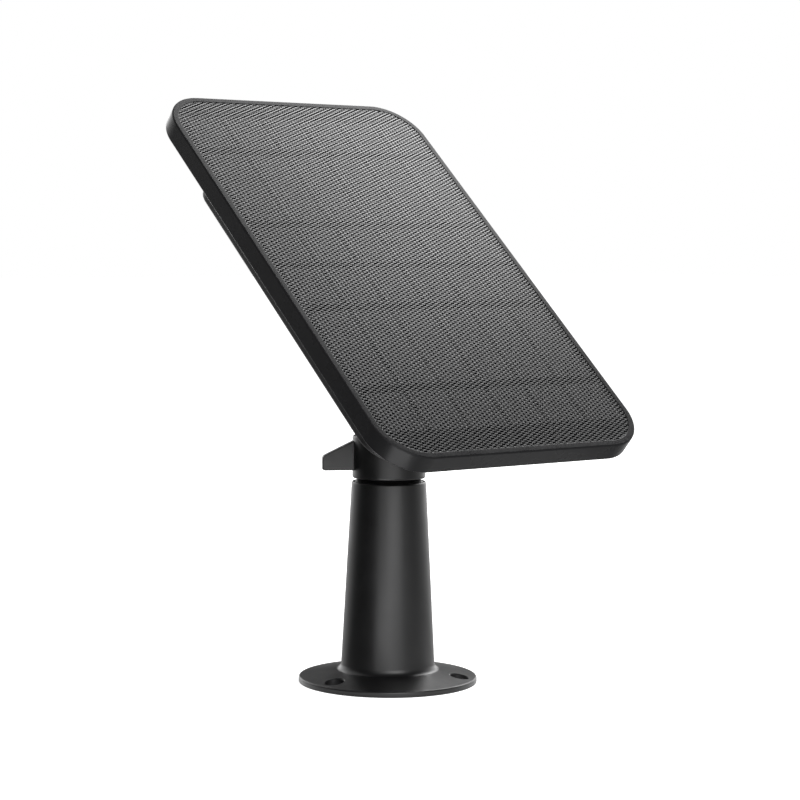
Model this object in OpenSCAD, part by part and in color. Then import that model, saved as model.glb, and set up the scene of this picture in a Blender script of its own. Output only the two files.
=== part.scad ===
// Solar charging panel on a post stand with a lockable ball joint.
// Millimetres, +Z up. The origin is the centre of the flange's underside, and the panel faces -Y.

/* [Stand] */
// Radius of the flange
base_r = 32; // [28:0.25:40]
// Height of the flange's rim
rim_h = 2; // [1.2:0.1:3]
// Rounding of the rim's upper edge
rim_edge_r = 0.6; // [0.2:0.1:1]
// Height of the flange where it meets the post's fillet
flange_h = 4.45; // [3.5:0.05:7]
// Width of the fillet between flange and post
post_fillet = 2.5; // [1:0.1:5]
// Radius by which the post widens from its top down to the flange
post_flare = 3.4; // [1:0.1:6]
// Height of the post's shoulder
post_h = 72.2; // [50:0.05:120]
// Step by which the post's shoulder stands out beyond the ring
post_step = 0.25; // [0:0.05:1]
// Rounding of the post's shoulder
post_edge_r = 0.7; // [0.4:0.1:2]
// Wall of the hollow post
post_wall = 3; // [2:0.25:4]
// Thickness of the ribs inside the post
post_rib_t = 2; // [1.2:0.1:4]
// Solid height left under the post's shoulder
post_cap_t = 6; // [3:0.5:10]
// Radius of a fixing hole
hole_r = 3.4; // [2:0.1:4]
// Distance of a fixing hole's centre from the flange's rim
hole_inset = 5.6; // [4.5:0.05:8]
// Chamfer at the mouth of a fixing hole
hole_chamfer = 0.3; // [0.2:0.1:1]
// Direction of the first fixing hole
hole_turn = 66.6; // [0:0.1:119]

/* [Ball joint] */
// Radius of the ball
ball_r = 8; // [7:0.1:9]
// Wall of the cup beside the ball
seat_wall = 0.6; // [0.5:0.05:1.5]
// Thickness of the cup below the ball
seat_base_t = 1.6; // [1.2:0.1:5]
// Height of the cup's floor above the post's shoulder
seat_floor_h = 1.7; // [0.8:0.05:4]
// Wall of the threaded spigot around the cup
spigot_wall = 2; // [1.5:0.05:3]
// Depth of the spigot's top below the ball's centre
spigot_drop = 1.5; // [1:0.1:3]
// Clearance of a running fit
run_fit = 0.05; // [0.02:0.01:0.1]
// Largest lean of the stud from upright
lean_max = 45; // [30:1:45]

/* [Lock ring] */
// Wall of the lock ring around the thread
ring_wall = 2.4; // [1.8:0.05:4]
// Gap between the post's shoulder and the ring
groove_h = 1.2; // [0.2:0.05:3]
// Share of that gap filled by the neck on the shoulder
neck_share = 0.7; // [0.3:0.05:0.8]
// Distance of the neck behind the ring's side
neck_inset = 0.9; // [0.3:0.1:2]
// Gap between the spigot's top and the ring's lip
lip_gap = 0.6; // [0.3:0.1:1]
// Height above the ball's centre where the lip opens out
lip_hold = 2.6; // [2:0.1:3]
// Height of the ring's top above the ball's centre
ring_top_rise = 5; // [4:0.1:6]
// Rounding of the ring's edges
ring_edge_r = 0.7; // [0.3:0.1:1.5]
// Reach of the wing from the axis
wing_reach = 24.1; // [18:0.1:30]
// Thickness of the wing
wing_t = 3.2; // [2:0.1:5]
// Height of the wing's underside above the ring's bottom
wing_rise = 2.85; // [1:0.05:5]
// Height of the wing at the ring
wing_root_h = 10.5; // [6:0.05:11]
// Height of the wing at its tip
wing_tip_h = 5.15; // [3:0.05:6]
// Direction of the wing
wing_turn = 151.3; // [0:0.1:360]
// Rounding of the wing's tip
wing_edge_r = 0.9; // [0.3:0.1:1.4]

/* [Stud and wheel] */
// Radius of the quarter-inch stud
stud_r = 3.175; // [2.5:0.005:3.2]
// Depth of the stud in the ball, below its centre
stud_depth = 4; // [2:0.5:6]
// Length of thread inside the hub
stud_grip = 11; // [8:0.5:12]
// Room left in the hub past the end of the stud
stud_room = 1; // [0.5:0.1:2]
// Distance from the ball's centre to the wheel
wheel_dist = 19.5; // [18:0.5:21]
// Radius of the knurled wheel
wheel_r = 11; // [9:0.25:12]
// Thickness of the wheel
wheel_t = 4; // [3:0.25:5]
// Number of scallops round the wheel
wheel_scallops = 18; // [12:1:24]
// Radius of a scallop
scallop_r = 1; // [0.6:0.1:1.2]
// Depth of a scallop
scallop_depth = 0.7; // [0.3:0.1:0.8]
// Chamfer at the stud's end
stud_tip = 1; // [0.5:0.1:1.5]
// Thickness of the rubber washer
washer_t = 1.5; // [1:0.1:2]
// Free play between wheel and washer
wheel_play = 0.1; // [0.05:0.01:0.3]

/* [Panel] */
// Lean of the panel's face from level
panel_tilt = 41; // [0:1:45]
// Width of the panel
panel_w = 113.8; // [100:0.1:140]
// Height of the panel along its slope
panel_h = 183.9; // [165:0.1:220]
// Radius of the panel's corners
corner_r = 17; // [12:0.5:20]
// Depth of the frame's side wall
frame_t = 7.1; // [6.6:0.05:9]
// Width of the bezel
bezel = 2.55; // [2:0.05:3]
// Rounding of the frame's front edge
frame_edge_r = 0.55; // [0.3:0.05:1.8]
// Wall of the frame behind its floor
frame_wall = 2.2; // [1.5:0.1:3]
// Thickness of the frame's floor
floor_t = 1.9; // [1:0.1:2.2]
// Distance from the panel's lower edge up to the stud's axis
hub_up = 53.45; // [48:0.05:62]

/* [Laminate] */
// Depth of the film below the bezel
film_drop = 0.3; // [0.1:0.05:1]
// Thickness of the front film
film_t = 0.5; // [0.3:0.05:0.6]
// Gap round the film and the board
laminate_gap = 0.15; // [0.1:0.05:0.3]
// Thickness of a ribbon
ribbon_t = 0.15; // [0.1:0.05:0.3]
// Width of a ribbon
ribbon_w = 1.1; // [0.6:0.1:2]
// Thickness of a cell
cell_t = 0.25; // [0.2:0.05:0.4]
// Margin of the film beside the cells
cell_side = 2.01; // [1:0.01:6]
// Margin of the film below the cells
cell_foot = 10.6; // [2:0.1:16]
// Margin of the film above the cells
cell_head = 8.9; // [2:0.1:16]
// Gap between neighbouring columns of cells
cell_gap = 0.8; // [0.4:0.1:2]
// Gap between the two rows of cells
row_gap = 3; // [1:0.5:5]
// Thickness of the board that carries the cells
board_sheet_t = 0.8; // [0.5:0.1:1]
// Thickness of the bonding tape
tape_t = 0.5; // [0.3:0.1:0.7]
// Width of the bonding tape
tape_w = 8; // [4:0.5:12]

/* [Rear cover] */
// Height of the raised housing behind the frame
plateau_h = 6.6; // [6.4:0.1:9]
// Set-back of the housing from the panel's sides
plateau_side = 4.5; // [3.5:0.25:8]
// Set-back of the housing from the panel's lower edge
plateau_foot = 9.8; // [6:0.1:12]
// Set-back of the housing from the panel's upper edge
plateau_head = 34; // [25:0.5:38]
// Radius of the housing's lower corners
plateau_r = 13; // [10:0.5:16]
// Radius of the housing's upper corners
plateau_top_r = 9; // [6:0.5:13]
// Rounding of the housing's rear edge
plateau_edge_r = 1.2; // [0.5:0.1:2]
// Wall of the rear cover
cover_wall = 1.8; // [1.5:0.1:2.5]
// Thickness of the cover's flange
cover_flange_t = 1.6; // [0.8:0.1:1.8]
// Gap between cover and frame
cover_gap = 0.15; // [0.1:0.05:0.3]
// Width of the cover's gasket
gasket_w = 2.4; // [1.5:0.1:3]
// Length of the hub behind the housing
hub_l = 14.4; // [13:0.1:20]
// Radius of the hub at the cover
hub_root_r = 18; // [15:0.5:20]
// Radius of the hub at its end
hub_end_r = 12.5; // [12:0.25:15]
// Radius of the brass insert
insert_r = 4.8; // [4.2:0.1:6]
// Length of the brass insert
insert_l = 11; // [8:0.5:12]
// Depth of the grooves round the insert
insert_groove = 0.5; // [0.2:0.1:0.6]
// Gap of a part that is pressed or moulded in
seat_fit = 0.02; // [0.01:0.01:0.05]
// Radius of the cord's outlet in the gland
gland_bore_r = 1.8; // [1.2:0.1:2.2]
// Wall of the gland inside the cover
gland_wall = 1.4; // [1:0.1:2]
// Width of the gland's lip outside the cover
gland_lip = 1.6; // [1:0.1:3]
// Thickness of each of the gland's lips
gland_lip_t = 1.5; // [1:0.1:2]
// Distance of the gland from the housing's lower end
gland_inset = 14; // [10:0.5:18]
// Distance of the gland from the housing's side
gland_side = 16.4; // [13:0.1:18]

/* [Fasteners] */
// Radius of a cover screw's shank
screw_r = 1; // [0.8:0.05:1.2]
// Radius of a cover screw's head
screw_head_r = 2; // [1.6:0.1:2.4]
// Height of a cover screw's head
screw_head_h = 1.5; // [1:0.1:2]
// Length of a cover screw's shank
screw_l = 6; // [5:0.25:6.5]
// Depth of the recess for a screw head
screw_recess = 2.5; // [2:0.1:3]
// Radial clearance round a screw
screw_gap = 0.25; // [0.1:0.05:0.4]
// Wall of a screw boss
boss_wall = 1.6; // [1.2:0.1:2.4]
// Set-in of the screws from the housing's sides
screw_inset = 8; // [7:0.5:12]
// Radius of a board screw's shank
small_screw_r = 0.8; // [0.6:0.05:1]
// Radius of a board screw's head
small_head_r = 1.6; // [1.2:0.1:2]
// Height of a board screw's head
small_head_h = 1; // [0.6:0.1:1.4]

/* [Regulator] */
// Width of the regulator board
pcb_w = 50; // [44:1:60]
// Height of the regulator board
pcb_h = 32; // [28:1:36]
// Thickness of the regulator board
pcb_t = 1.2; // [0.8:0.1:1.6]
// Distance from the panel's centre up to the board's centre
pcb_up = 22; // [20:1:26]
// Height of the posts under the board
pcb_post_h = 1.8; // [1.5:0.1:2.2]
// Wall of a post under the board
pcb_post_wall = 1; // [0.8:0.1:1.5]
// Set-in of the board's screws from its edges
pcb_hole_inset = 4; // [3:0.25:5]
// Radius of a lead
lead_r = 0.65; // [0.4:0.05:0.8]
// Clearance round a lead where it passes the frame's floor
lead_gap = 0.5; // [0.3:0.1:1]
// Distance between the two leads
lead_pitch = 16; // [10:1:30]
// Distance of the leads' passage above the board's upper edge
lead_rise = 4; // [3:0.5:8]
// Distance of the leads' ends below the board's upper edge
lead_land = 3; // [2:0.5:5]
// Radius of the inductor
inductor_r = 3.6; // [2.5:0.1:4]
// Height of the inductor
inductor_h = 2.8; // [2:0.1:3.4]
// Radius of a capacitor
capacitor_r = 2; // [1.5:0.1:3]
// Height of a capacitor
capacitor_h = 3; // [2:0.1:3.4]
// Side of the regulator chip
chip_w = 5; // [3:0.25:6]
// Thickness of the regulator chip
chip_t = 1.2; // [0.8:0.1:2]
// Width of the diode
diode_w = 4.4; // [3:0.1:5]
// Length of the diode
diode_l = 2.8; // [2:0.1:3.2]
// Thickness of the diode
diode_t = 2.2; // [1:0.1:2.6]
// Width of the output header
header_w = 8; // [5:0.5:12]
// Length of the output header
header_l = 5; // [3:0.25:7]
// Height of the output header
header_t = 3.2; // [2:0.1:3.5]
// Set-in of the output header from the board's lower edge
header_inset = 1; // [0:0.25:2]

/* [Hidden] */
$fn = 96;
HULL_FN = 48;
ARC_STEPS = 8;
EDGE_STEPS = 4;
HEAD_TAPER = 0.8;
INSERT_BANDS = 5;
CUT = 0.5;
COLUMNS = 6;
ROWS = 2;
RIBBONS = 2;
FIXING_HOLES = 3;

// Heights of the stand and its joint
seat_r = ball_r + seat_wall;
spigot_bore_r = seat_r + run_fit;
spigot_r = spigot_bore_r + spigot_wall;
ring_bore_r = spigot_r + run_fit;
ring_r = ring_bore_r + ring_wall;
post_top_r = ring_r + post_step;
post_low_r = post_top_r + post_flare;
flange_slope = (flange_h - rim_h) / (base_r - post_low_r - post_fillet);
hole_mouth_z = rim_h + flange_slope * hole_inset;
seat_floor_z = post_h + seat_floor_h;
ball_z = seat_floor_z + run_fit + seat_base_t + ball_r;
spigot_top_z = ball_z - spigot_drop;
ring_low_z = post_h + groove_h;
neck_z = post_h + neck_share * groove_h;
lip_low_z = spigot_top_z + lip_gap;
ring_top_z = ball_z + ring_top_rise;
lip_sphere_r = ball_r + run_fit;
lip_r = sqrt(lip_sphere_r * lip_sphere_r - lip_hold * lip_hold);
lip_low_r = sqrt(lip_sphere_r * lip_sphere_r - pow(lip_low_z - ball_z, 2));

// Distances along the stud from the ball's centre
washer_dist = wheel_dist + wheel_t + wheel_play;
hub_dist = washer_dist + washer_t;
stud_end = hub_dist + stud_grip;

// Depths behind the panel's face
film_low = film_drop + film_t;
ribbon_low = film_low + ribbon_t;
cell_low = ribbon_low + cell_t;
sheet_low = cell_low + board_sheet_t;
tape_low = sheet_low + tape_t;
floor_low = tape_low + floor_t;
flange_low = frame_t - cover_flange_t;
body_depth = frame_t + plateau_h;
cover_inner = body_depth - cover_wall;
hub_low = body_depth + hub_l;
face_dist = hub_dist + hub_low;
insert_top = hub_low - insert_l;
hub_bore_top = hub_low - max(insert_l, stud_grip) - stud_room;

// Outlines in the panel's plane
panel_offset = panel_h / 2 - hub_up;
recess_w = panel_w - 2 * bezel;
recess_h = panel_h - 2 * bezel;
recess_r = corner_r - bezel;
sheet_w = recess_w - 2 * laminate_gap;
sheet_h = recess_h - 2 * laminate_gap;
sheet_r = recess_r - laminate_gap;
rear_w = panel_w - 2 * frame_wall;
rear_h = panel_h - 2 * frame_wall;
rear_r = corner_r - frame_wall;
flange_w = rear_w - 2 * cover_gap;
flange_l = rear_h - 2 * cover_gap;
flange_r = rear_r - cover_gap;
plateau_w = panel_w - 2 * plateau_side;
plateau_l = panel_h - plateau_foot - plateau_head;
plateau_y = (plateau_foot - plateau_head) / 2;
plateau_low_y = plateau_y - plateau_l / 2;

// Cells
array_w = sheet_w - 2 * cell_side;
array_h = sheet_h - cell_foot - cell_head;
cell_pitch = (array_w + cell_gap) / COLUMNS;
row_step = (array_h + row_gap) / ROWS;
cell_w = cell_pitch - cell_gap;
cell_l = row_step - row_gap;
ribbon_pitch = cell_l / RIBBONS;
array_y = (cell_foot - cell_head) / 2;
function column_x(i) = (i - (COLUMNS - 1) / 2) * cell_pitch;
function row_y(j) = array_y + ((ROWS - 1) / 2 - j) * row_step;

// Screws of the rear cover
screw_x = plateau_w / 2 - screw_inset;
screw_top_y = plateau_y + plateau_l / 2 - screw_inset;
screw_low_y = plateau_y - plateau_l / 2 + screw_inset;
screw_rows = [screw_top_y, (screw_top_y + screw_low_y) / 2, screw_low_y];
screw_places = [for (y = screw_rows, side = [-1, 1]) [side * screw_x, y]];
screw_seat = body_depth - screw_recess;
screw_end = screw_seat - screw_l;
boss_r = screw_r + screw_gap + boss_wall;
recess_hole_r = screw_head_r + screw_gap;
cover_boss_r = recess_hole_r + boss_wall;
boss_split = (floor_low + screw_seat) / 2;

// Regulator board
pcb_low = cover_inner - pcb_post_h;
pcb_top = pcb_low - pcb_t;
pcb_hole_x = pcb_w / 2 - pcb_hole_inset;
pcb_hole_y = pcb_h / 2 - pcb_hole_inset;
pcb_holes = [for (x = [-1, 1], y = [-1, 1]) [x * pcb_hole_x, pcb_up + y * pcb_hole_y]];
small_screw_l = pcb_t + pcb_post_h + cover_wall / 2;
pcb_post_r = small_screw_r + screw_gap + pcb_post_wall;
pcb_edge_y = pcb_up + pcb_h / 2;
inductor_place = [-pcb_w / 5, 0];
capacitor_places = [for (side = [-1, 1]) [pcb_w / 4, side * pcb_h / 5]];
diode_place = [0, pcb_h / 3];
header_place = [0, header_inset + (header_l - pcb_h) / 2];
gland_place = [plateau_w / 2 - gland_side, plateau_low_y + gland_inset];
gland_r = gland_bore_r + gland_wall;

// Places children on the stud: the ball's centre is the origin and +Z runs along the stud
module on_stud() {
    translate([0, 0, ball_z])
        rotate([panel_tilt, 0, 0])
            children();
}

// Places children on the panel: the face's centre is the origin, +Y runs up the slope, +Z outwards
module on_panel() {
    on_stud()
        translate([0, panel_offset, face_dist])
            children();
}

// A layer of the panel between two depths behind its face
module layer(top, low) {
    translate([0, 0, -low])
        linear_extrude(low - top)
            children();
}

module rounded_rect(w, h, r) {
    square([w - 2 * r, h], center = true);
    square([w, h - 2 * r], center = true);
    for (x = [-1, 1], y = [-1, 1])
        translate([x * (w / 2 - r), y * (h / 2 - r)])
            circle(r);
}

// A rounded block whose upper edge is rounded, with a corner radius at +Y and one at -Y
module soft_block(w, h, r_head, r_foot, t, edge) {
    hull()
        for (x = [-1, 1], y = [-1, 1])
            let (r = y > 0 ? r_head : r_foot)
                translate([x * (w / 2 - r), y * (h / 2 - r), 0])
                    rotate_extrude($fn = HULL_FN)
                        polygon(concat(
                            [[0, 0], [r, 0]],
                            arc(r - edge, t - edge, edge, 0, 90, EDGE_STEPS),
                            [[0, t]]
                        ));
}

// Points of an arc from one angle to another
function arc(cx, cy, r, a0, a1, steps = ARC_STEPS) =
    [for (i = [0 : steps]) let (a = a0 + (a1 - a0) * i / steps) [cx + r * cos(a), cy + r * sin(a)]];

module pan_head_screw(shank_r, shank_l, head_r, head_h) {
    translate([0, 0, -shank_l])
        cylinder(r = shank_r, h = shank_l);
    cylinder(r1 = head_r, r2 = head_r * HEAD_TAPER, h = head_h);
}

// A lead made of straight runs with round bends
module lead(points) {
    for (i = [0 : len(points) - 2])
        let (step = points[i + 1] - points[i], run = norm(step))
            translate(points[i])
                rotate([0, acos(step.z / run), atan2(step.y, step.x)])
                    cylinder(r = lead_r, h = run, $fn = HULL_FN);
    for (i = [1 : len(points) - 2])
        translate(points[i])
            sphere(lead_r, $fn = HULL_FN);
}

// Outline of the stand, from the flange's rim up its slope and fillet to the post's shoulder and neck
module stand_profile() {
    lean = atan2(post_flare, post_h - flange_h);
    fall = atan(flange_slope);
    rim_z = rim_h + rim_edge_r * (flange_slope - 1 / cos(fall));
    polygon(concat(
        [[0, 0], [base_r, 0]],
        arc(base_r - rim_edge_r, rim_z, rim_edge_r, 0, 90 - fall),
        arc(post_low_r + post_fillet, flange_h + post_fillet, post_fillet, 270 - fall, 180 + lean),
        arc(post_top_r - post_edge_r, post_h - post_edge_r, post_edge_r, lean, 90),
        [[ring_r - neck_inset, post_h], [ring_r - neck_inset, neck_z], [0, neck_z]]
    ));
}

module stand_post() {
    core_low_r = post_low_r - post_wall;
    core_top_r = post_top_r - post_wall;
    core_h = post_h - post_cap_t;
    color("#1b1b1c")
        difference() {
            union() {
                rotate_extrude()
                    stand_profile();
                translate([0, 0, post_h - CUT])
                    cylinder(r = spigot_r, h = spigot_top_z - post_h + CUT);
            }
            translate([0, 0, seat_floor_z])
                cylinder(r = spigot_bore_r, h = spigot_top_z);
            difference() {
                translate([0, 0, -CUT])
                    cylinder(r1 = core_low_r, r2 = core_top_r, h = core_h + CUT);
                for (turn = [0, 90])
                    rotate(turn)
                        translate([-base_r, -post_rib_t / 2, -2 * CUT])
                            cube([2 * base_r, post_rib_t, post_h]);
            }
            for (i = [0 : FIXING_HOLES - 1])
                rotate(hole_turn + 360 * i / FIXING_HOLES)
                    translate([base_r - hole_inset, 0, 0]) {
                        translate([0, 0, -CUT])
                            cylinder(r = hole_r, h = flange_h + 2 * CUT);
                        translate([0, 0, hole_mouth_z - hole_chamfer])
                            cylinder(r1 = hole_r, r2 = hole_r + flange_h, h = flange_h);
                    }
        }
}

module ball_seat() {
    color("#d8d4c8")
        difference() {
            translate([0, 0, seat_floor_z + run_fit])
                cylinder(r = seat_r, h = spigot_top_z - seat_floor_z - run_fit);
            translate([0, 0, ball_z])
                sphere(ball_r + run_fit);
        }
}

module ring_profile() {
    polygon(concat(
        arc(ring_r - ring_edge_r, ring_low_z + ring_edge_r, ring_edge_r, 270, 360),
        arc(ring_r - ring_edge_r, ring_top_z - ring_edge_r, ring_edge_r, 0, 90),
        [[lip_r + (ring_top_rise - lip_hold) * tan(lean_max), ring_top_z]],
        [[lip_r, ball_z + lip_hold]],
        [[ball_r / 2, ball_z + lip_hold]],
        [[ball_r / 2, lip_low_z], [ring_bore_r, lip_low_z], [ring_bore_r, ring_low_z]]
    ));
}

// Outline of the wing, whose top falls from the ring to the rounded tip
module wing_profile() {
    wing_z = ring_low_z + wing_rise;
    offset(r = wing_edge_r)
        offset(delta = -wing_edge_r)
            polygon([
                [ring_bore_r - wing_edge_r, wing_z],
                [wing_reach, wing_z],
                [wing_reach, wing_z + wing_tip_h],
                [ring_r, wing_z + wing_root_h],
                [ring_bore_r - wing_edge_r, wing_z + wing_root_h]
            ]);
}

module lock_ring() {
    color("#1d1d1e")
        difference() {
            union() {
                rotate_extrude()
                    ring_profile();
                rotate([90, 0, wing_turn])
                    translate([0, 0, -wing_t / 2])
                        linear_extrude(wing_t)
                            intersection() {
                                wing_profile();
                                translate([ring_bore_r + ring_wall / 2, 0])
                                    square([wing_reach, ring_top_z]);
                            }
            }
            translate([0, 0, ball_z])
                sphere(lip_sphere_r);
        }
}

module ball() {
    color("#9a9a9c")
        on_stud()
            difference() {
                sphere(ball_r);
                translate([0, 0, -stud_depth])
                    cylinder(r = stud_r + seat_fit, h = 2 * ball_r);
            }
}

module ball_stud() {
    color("#8c8c8e")
        on_stud()
            translate([0, 0, -stud_depth]) {
                cylinder(r = stud_r, h = stud_depth + stud_end - stud_tip);
                translate([0, 0, stud_depth + stud_end - stud_tip])
                    cylinder(r1 = stud_r, r2 = stud_r - stud_tip, h = stud_tip);
            }
}

module lock_wheel() {
    color("#222223")
        on_stud()
            translate([0, 0, wheel_dist])
                difference() {
                    cylinder(r = wheel_r, h = wheel_t);
                    translate([0, 0, -CUT])
                        cylinder(r = stud_r + run_fit, h = wheel_t + 2 * CUT);
                    for (i = [1 : wheel_scallops])
                        rotate(360 * i / wheel_scallops)
                            translate([wheel_r + scallop_r - scallop_depth, 0, -CUT])
                                cylinder(r = scallop_r, h = wheel_t + 2 * CUT);
                }
}

module rubber_washer() {
    color("#101010")
        on_stud()
            translate([0, 0, washer_dist])
                difference() {
                    cylinder(r = wheel_r, h = washer_t);
                    translate([0, 0, -CUT])
                        cylinder(r = stud_r + screw_gap, h = washer_t + 2 * CUT);
                }
}

module panel_frame() {
    color("#202021")
        on_panel()
            difference() {
                union() {
                    difference() {
                        translate([0, 0, -frame_t])
                            soft_block(panel_w, panel_h, corner_r, corner_r, frame_t, frame_edge_r);
                        layer(-CUT, tape_low)
                            rounded_rect(recess_w, recess_h, recess_r);
                        layer(floor_low, frame_t + CUT)
                            rounded_rect(rear_w, rear_h, rear_r);
                    }
                    for (place = screw_places)
                        translate(place)
                            layer(floor_low - CUT, boss_split)
                                circle(boss_r);
                }
                for (place = screw_places)
                    translate(place)
                        layer(min(screw_end, floor_low) - screw_gap, boss_split + CUT)
                            circle(screw_r + run_fit);
                for (side = [-1, 1])
                    translate([side * lead_pitch / 2, pcb_edge_y + lead_rise])
                        layer(tape_low - CUT, floor_low + CUT)
                            circle(lead_r + lead_gap);
            }
}

module front_film() {
    color("#3a3a3c")
        on_panel()
            layer(film_drop, film_low)
                rounded_rect(sheet_w, sheet_h, sheet_r);
}

module solar_cell(n) {
    column = (n - 1) % COLUMNS;
    row = floor((n - 1) / COLUMNS);
    color("#17181c")
        on_panel()
            translate([column_x(column), row_y(row)])
                layer(ribbon_low, cell_low)
                    square([cell_w, cell_l], center = true);
}

module cell_ribbons() {
    color("#0c0c0d")
        on_panel()
            for (j = [0 : ROWS - 1], i = [0 : RIBBONS - 1])
                translate([0, row_y(j) + (i - (RIBBONS - 1) / 2) * ribbon_pitch])
                    layer(film_low, ribbon_low)
                        square([array_w, ribbon_w], center = true);
}

module back_sheet() {
    color("#101113")
        on_panel()
            layer(cell_low, sheet_low)
                rounded_rect(sheet_w, sheet_h, sheet_r);
}

module bonding_tape() {
    color("#2b2b2b")
        on_panel()
            layer(sheet_low, tape_low)
                difference() {
                    rounded_rect(sheet_w, sheet_h, sheet_r);
                    rounded_rect(sheet_w - 2 * tape_w, sheet_h - 2 * tape_w, max(sheet_r - tape_w, CUT));
                }
}

module rear_cover() {
    inner_w = plateau_w - 2 * cover_wall;
    inner_l = plateau_l - 2 * cover_wall;
    inner_r = max(plateau_r, plateau_top_r) - cover_wall;
    color("#1c1c1d")
        on_panel()
            difference() {
                union() {
                    difference() {
                        union() {
                            layer(flange_low, frame_t)
                                rounded_rect(flange_w, flange_l, flange_r);
                            translate([0, plateau_y, -flange_low])
                                rotate([180, 0, 0])
                                    soft_block(plateau_w, plateau_l, plateau_r, plateau_top_r,
                                        body_depth - flange_low, plateau_edge_r);
                        }
                        translate([0, plateau_y])
                            layer(flange_low - CUT, cover_inner)
                                rounded_rect(inner_w, inner_l, inner_r);
                    }
                    for (place = screw_places)
                        translate(place)
                            layer(boss_split + run_fit, body_depth - CUT)
                                circle(cover_boss_r);
                    for (place = pcb_holes)
                        translate(place)
                            layer(pcb_low, cover_inner + CUT)
                                circle(pcb_post_r);
                    translate([0, -panel_offset, -hub_low])
                        cylinder(r1 = hub_end_r, r2 = hub_root_r, h = hub_l + CUT);
                }
                for (place = screw_places)
                    translate(place) {
                        layer(boss_split - CUT, screw_seat + CUT)
                            circle(screw_r + screw_gap);
                        layer(screw_seat, body_depth + CUT)
                            circle(recess_hole_r);
                    }
                for (place = pcb_holes)
                    translate(place)
                        layer(pcb_low - CUT, pcb_top + small_screw_l + run_fit)
                            circle(small_screw_r + run_fit);
                translate([0, -panel_offset])
                    layer(insert_top, hub_low + CUT)
                        circle(insert_r + seat_fit);
                translate([0, -panel_offset])
                    layer(hub_bore_top, hub_low)
                        circle(stud_r + screw_gap);
                translate(gland_place)
                    layer(cover_inner - CUT, body_depth + CUT)
                        circle(gland_r + seat_fit);
            }
}

module cover_gasket() {
    color("#0e0e0e")
        on_panel()
            layer(floor_low, flange_low)
                difference() {
                    rounded_rect(flange_w, flange_l, flange_r);
                    rounded_rect(flange_w - 2 * gasket_w, flange_l - 2 * gasket_w, flange_r - gasket_w);
                }
}

module cover_screws() {
    color("#6f6f72")
        on_panel()
            for (place = screw_places)
                translate([place.x, place.y, -screw_seat])
                    rotate([180, 0, 0])
                        pan_head_screw(screw_r, screw_l, screw_head_r, screw_head_h);
}

module threaded_insert() {
    band_l = insert_l / INSERT_BANDS;
    color("#b08d4a")
        on_panel()
            translate([0, -panel_offset])
                difference() {
                    union() {
                        layer(insert_top, hub_low)
                            circle(insert_r - insert_groove);
                        for (k = [0 : 2 : INSERT_BANDS - 1])
                            layer(insert_top + k * band_l, insert_top + (k + 1) * band_l)
                                circle(insert_r);
                    }
                    layer(insert_top - CUT, hub_low + CUT)
                        circle(stud_r + run_fit);
                }
}

module cable_gland() {
    color("#121212")
        on_panel()
            translate(gland_place)
                difference() {
                    union() {
                        layer(cover_inner - gland_lip_t, cover_inner)
                            circle(gland_r + gland_lip);
                        layer(cover_inner - CUT, body_depth + CUT)
                            circle(gland_r);
                        layer(body_depth, body_depth + gland_lip_t)
                            circle(gland_r + gland_lip);
                    }
                    layer(cover_inner - gland_lip_t - CUT, body_depth + gland_lip_t + CUT)
                        circle(gland_bore_r);
                }
}

module regulator_board() {
    color("#1f4d33")
        on_panel()
            layer(pcb_top, pcb_low)
                difference() {
                    translate([0, pcb_up])
                        square([pcb_w, pcb_h], center = true);
                    for (place = pcb_holes)
                        translate(place)
                            circle(small_screw_r + run_fit);
                }
}

module board_screws() {
    color("#7a7a7c")
        on_panel()
            for (place = pcb_holes)
                translate([place.x, place.y, -pcb_top])
                    pan_head_screw(small_screw_r, small_screw_l, small_head_r, small_head_h);
}

// Places children on the regulator board, at a place measured from its centre
module on_board(place) {
    on_panel()
        translate([place.x, pcb_up + place.y, -pcb_top])
            children();
}

module inductor() {
    color("#3b3b3d")
        on_board(inductor_place)
            cylinder(r = inductor_r, h = inductor_h);
}

module capacitors() {
    color("#a9abb0")
        for (place = capacitor_places)
            on_board(place)
                cylinder(r = capacitor_r, h = capacitor_h);
}

module regulator_chip() {
    color("#141414")
        on_board([0, 0])
            translate([-chip_w / 2, -chip_w / 2, 0])
                cube([chip_w, chip_w, chip_t]);
}

module diode() {
    color("#191919")
        on_board(diode_place)
            translate([-diode_w / 2, -diode_l / 2, 0])
                cube([diode_w, diode_l, diode_t]);
}

module output_header() {
    color("#e3ded0")
        on_board(header_place)
            translate([-header_w / 2, -header_l / 2, 0])
                cube([header_w, header_l, header_t]);
}

// A lead from the board of the cells, through the frame's floor, to the regulator board
module panel_lead(side) {
    x = side * lead_pitch / 2;
    bend = (floor_low + pcb_top) / 2;
    on_panel()
        lead([
            [x, pcb_edge_y + lead_rise, -sheet_low],
            [x, pcb_edge_y + lead_rise, -bend],
            [x, pcb_edge_y - lead_land, -bend],
            [x, pcb_edge_y - lead_land, -pcb_top]
        ]);
}

module positive_lead() {
    color("#9c2a22")
        panel_lead(1);
}

module negative_lead() {
    color("#161616")
        panel_lead(-1);
}

stand_post();
ball_seat();
lock_ring();
ball();
ball_stud();
lock_wheel();
rubber_washer();
panel_frame();
front_film();
cell_ribbons();
back_sheet();
bonding_tape();
rear_cover();
cover_gasket();
cover_screws();
threaded_insert();
cable_gland();
regulator_board();
board_screws();
inductor();
capacitors();
regulator_chip();
diode();
output_header();
positive_lead();
negative_lead();
for (n = [1 : COLUMNS * ROWS])
    solar_cell(n);
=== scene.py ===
"""Models and dresses a solar charging panel on a tilting post stand.

The part's sizes are written in millimetres and turned to metres where a mesh is made; the studio's are in
metres. The stand is modelled on its own axis, the ball joint along its stud, and the panel with its face in
the XY plane; each piece is then seated in the shared frame.
"""

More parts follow.
